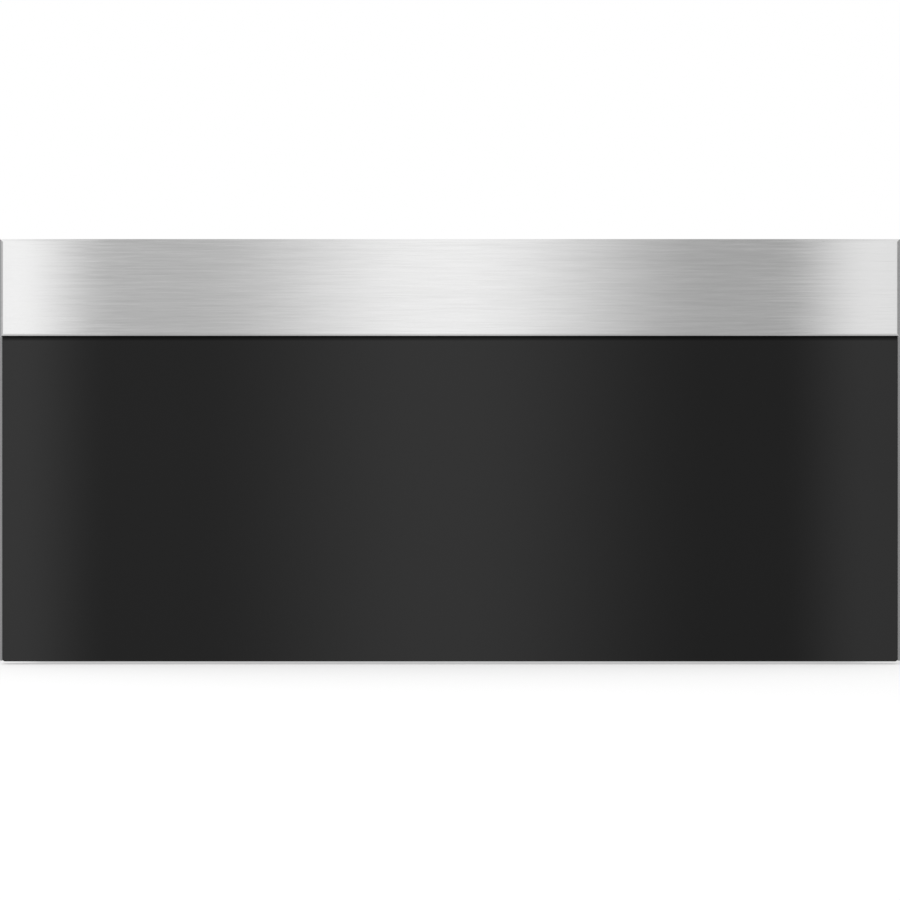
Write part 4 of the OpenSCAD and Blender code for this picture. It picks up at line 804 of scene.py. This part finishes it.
# How bright the shell is along the floor, overhead on the camera's side, and overhead behind
FLOOR_GLOW, NEAR_GLOW, FAR_GLOW = 0.42, 0.74, 0.90
# Along the floor in front, half of the shades is mixed with half of this grey
FLOOR_SHADE = 0.34
# Where one part of the shell passes into the next: the values at which the change starts and ends
SHADES_END_ASIDE = (1.03, 1.25)  # as shares of the shades' own half width
SHADES_END_BEHIND = (0.85, 0.97)  # by the direction's Y
NEAR_TO_FAR = (-0.2, 0.6)  # by the direction's Y
WALL_TO_FLOOR, WALL_TO_CEILING = (-0.05, -0.25), (0.08, 0.35)  # by the direction's Z


def stage_piece(name, points, faces):
    """A piece of the studio, which isn't part of the object."""
    piece = mesh_object(name, points, faces)
    return piece


def seen_directly(tree):
    """1 for camera, glossy and transmission rays."""
    path = tree.add("LightPath").outputs
    mirror = tree.math("MAXIMUM", path["Is Glossy Ray"], path["Is Transmission Ray"])
    return tree.math("MAXIMUM", path["Is Camera Ray"], mirror)


def pale_floor():
    """A pale floor that keeps the shadow, raised a little for the eye so that it reads white."""
    far = FLOOR_REACH
    corners = [(-far, -far, 0), (far, -far, 0), (far, far, 0), (-far, far, 0)]
    piece = stage_piece("floor", corners, [(0, 1, 2, 3)])
    made, tree, nodes = new_material("pale floor")
    shader = nodes["Principled BSDF"].inputs
    speck = tree.noise(tree.object_place(), 3.0)
    colour = tree.mix(speck, grey(FLOOR_COLOUR), grey(FLOOR_COLOUR + 0.02))
    tree.put(shader["Base Color"], colour)
    tree.put(shader["Roughness"], 1.0)
    tree.put(shader["Specular IOR Level"], 0.0)
    tree.put(shader["Emission Color"], (*WHITE, 1.0))
    tree.put(shader["Emission Strength"], tree.times(seen_directly(tree), FLOOR_LIFT))
    piece.data.materials.append(made)
    piece.visible_glossy = False


def white_world():
    """A white surround for the eye and for mirrors, and a softer level for what it lights."""
    world = bpy.data.worlds.new("studio")
    world.use_nodes = True
    bpy.context.scene.world = world
    tree = Tree(world.node_tree)
    background = world.node_tree.nodes["Background"].inputs
    tree.put(background["Color"], (*WHITE, 1.0))
    tree.put(background["Strength"], tree.remap(seen_directly(tree), 0.0, 1.0, LAMP_LEVEL, 1.0))


def glow(name, points, faces, colour):
    """A surface that only mirrors see: it shapes the gloss on metal and glass, and lights
    nothing. colour(tree) returns its colour."""
    piece = stage_piece(name, points, faces)
    made, tree, nodes = new_material(name)
    nodes.remove(nodes["Principled BSDF"])
    light = tree.add("Emission", {"Color": colour(tree), "Strength": 1.0})
    tree.put(nodes["Material Output"].inputs["Surface"], light.outputs[0])
    piece.data.materials.append(made)
    piece.visible_camera = False
    piece.visible_diffuse = False
    piece.visible_shadow = False
    piece.visible_transmission = False


def ramp(tree, value, levels):
    """Greys that ease from one level to the next; levels are pairs of a place and a brightness."""
    node = tree.add("ValToRGB", {0: value})
    node.color_ramp.interpolation = "EASE"
    stops = node.color_ramp.elements
    stops[0].position, stops[1].position = levels[0][0], levels[-1][0]
    for place, _ in levels[1:-1]:
        stops.new(place)
    for stop, (_, level) in zip(stops, levels):
        stop.color = (level, level, level, 1.0)
    return node.outputs["Color"]


def mirrored_half_width(distance):
    """Half the width that a mirror in the front's plane shows of a surface this far before it."""
    return front_width / 2 * (1 + distance / CAMERA_DISTANCE)


def front_card():
    """The card behind the camera, with the two shades. It darkens a little towards its foot."""
    reach = mirrored_half_width(CARD_DISTANCE)
    y = band_low.y - CARD_DISTANCE

    def colour(tree):
        """The shades across the card, times the fall towards its foot."""
        place = tree.parts(tree.object_place())
        fall = tree.remap(place["Z"], *CARD_FALL)
        return tree.mix(fall, BLACK, ramp(tree, tree.remap(place["X"], -reach, reach), SHADE))

    side = CARD_SPREAD * reach
    corners = [(-side, y, CARD_LOW), (side, y, CARD_LOW),
               (side, y, CARD_HIGH), (-side, y, CARD_HIGH)]
    glow("front card", corners, [(0, 1, 2, 3)], colour)


def studio_shell():
    """A ball of soft light and dark that only mirrors see: rings of a sphere from its lowest to
    its highest point.

    Above the card the two shades go on over the top, and fainter along the floor before the
    front, so that the band's bends carry them too."""
    reach = mirrored_half_width(SHELL_RADIUS)
    edge = reach / SHELL_RADIUS
    rings, sides = 32, 64
    around = np.linspace(0.0, 2 * math.pi, sides + 1)[:-1][None, :]
    rise = np.linspace(-math.pi / 2, math.pi / 2, rings + 2)[1:-1, None]
    middle = np.array([0.0, band_low.y, front_middle_z])
    ball = np.stack(np.broadcast_arrays(
        np.cos(rise) * np.sin(around), -np.cos(rise) * np.cos(around), np.sin(rise)), -1)
    points = ball.reshape(-1, 3) * SHELL_RADIUS + middle

    def colour(tree):
        """The direction from the front's middle picks the part of the studio."""
        spot = tree.vector("SUBTRACT", tree.object_place(), tuple(middle)).outputs[0]
        way = tree.parts(tree.vector("NORMALIZE", spot).outputs[0])
        aside, back, up = way["X"], way["Y"], way["Z"]
        angle = tree.math("ARCTAN2", aside, tree.times(back, -1.0))
        turns = tree.math("MULTIPLY_ADD", angle, 0.5 / math.pi, 0.5)
        shades = ramp(tree, tree.remap(tree.times(aside, SHELL_RADIUS), -reach, reach), SHADE)
        starts, ends = (share * edge for share in SHADES_END_ASIDE)
        beside = tree.remap(tree.math("ABSOLUTE", aside), starts, ends, 1.0, 0.0)
        in_middle = tree.times(beside, tree.remap(back, *SHADES_END_BEHIND, 1.0, 0.0))
        overhead = tree.mix(tree.remap(back, *NEAR_TO_FAR), grey(NEAR_GLOW), grey(FAR_GLOW))
        ceiling = tree.mix(in_middle, overhead, shades)
        floor_shades = tree.mix(0.5, grey(FLOOR_SHADE), shades)
        floor = tree.mix(in_middle, grey(FLOOR_GLOW), floor_shades)
        level = tree.mix(tree.remap(up, *WALL_TO_FLOOR), ramp(tree, turns, WAVES), floor)
        return tree.mix(tree.remap(up, *WALL_TO_CEILING), level, ceiling)

    ends = [list(range(sides)), list(range((rings - 1) * sides, rings * sides))]
    glow("studio shell", points, grid_faces(rings, sides).tolist() + ends, colour)


def soft_lamp(name, place, aim, size, power):
    """A square area lamp turned to the point aim."""
    lamp = bpy.data.lights.new(name, "AREA")
    lamp.shape, lamp.size, lamp.energy = "SQUARE", size, power
    piece = bpy.data.objects.new(name, lamp)
    bpy.context.scene.collection.objects.link(piece)
    piece.location = place
    turn = (aim - piece.location).to_track_quat("-Z", "Y")
    piece.rotation_euler = turn.to_euler()
    piece.visible_glossy = False


def straight_camera():
    """Straight on and level with the front's middle: the front's width fills the picture's."""
    lens = bpy.data.cameras.new("camera")
    lens.sensor_width = SENSOR
    lens.lens = SENSOR * CAMERA_DISTANCE / front_width * FRONT_SHARE
    lens.clip_end = 50.0
    piece = bpy.data.objects.new("camera", lens)
    bpy.context.scene.collection.objects.link(piece)
    piece.location = (0.0, band_low.y - CAMERA_DISTANCE, front_middle_z + CAMERA_LIFT)
    piece.rotation_euler = (math.pi / 2, 0.0, 0.0)
    bpy.context.scene.camera = piece


pale_floor()
white_world()
front_card()
studio_shell()
soft_lamp("key lamp", place=(-1.5, -1.9, 2.4), aim=(band_low + band_high) / 2,
          size=1.8, power=26.0)
straight_camera()
bpy.context.scene.view_settings.view_transform = "Standard"
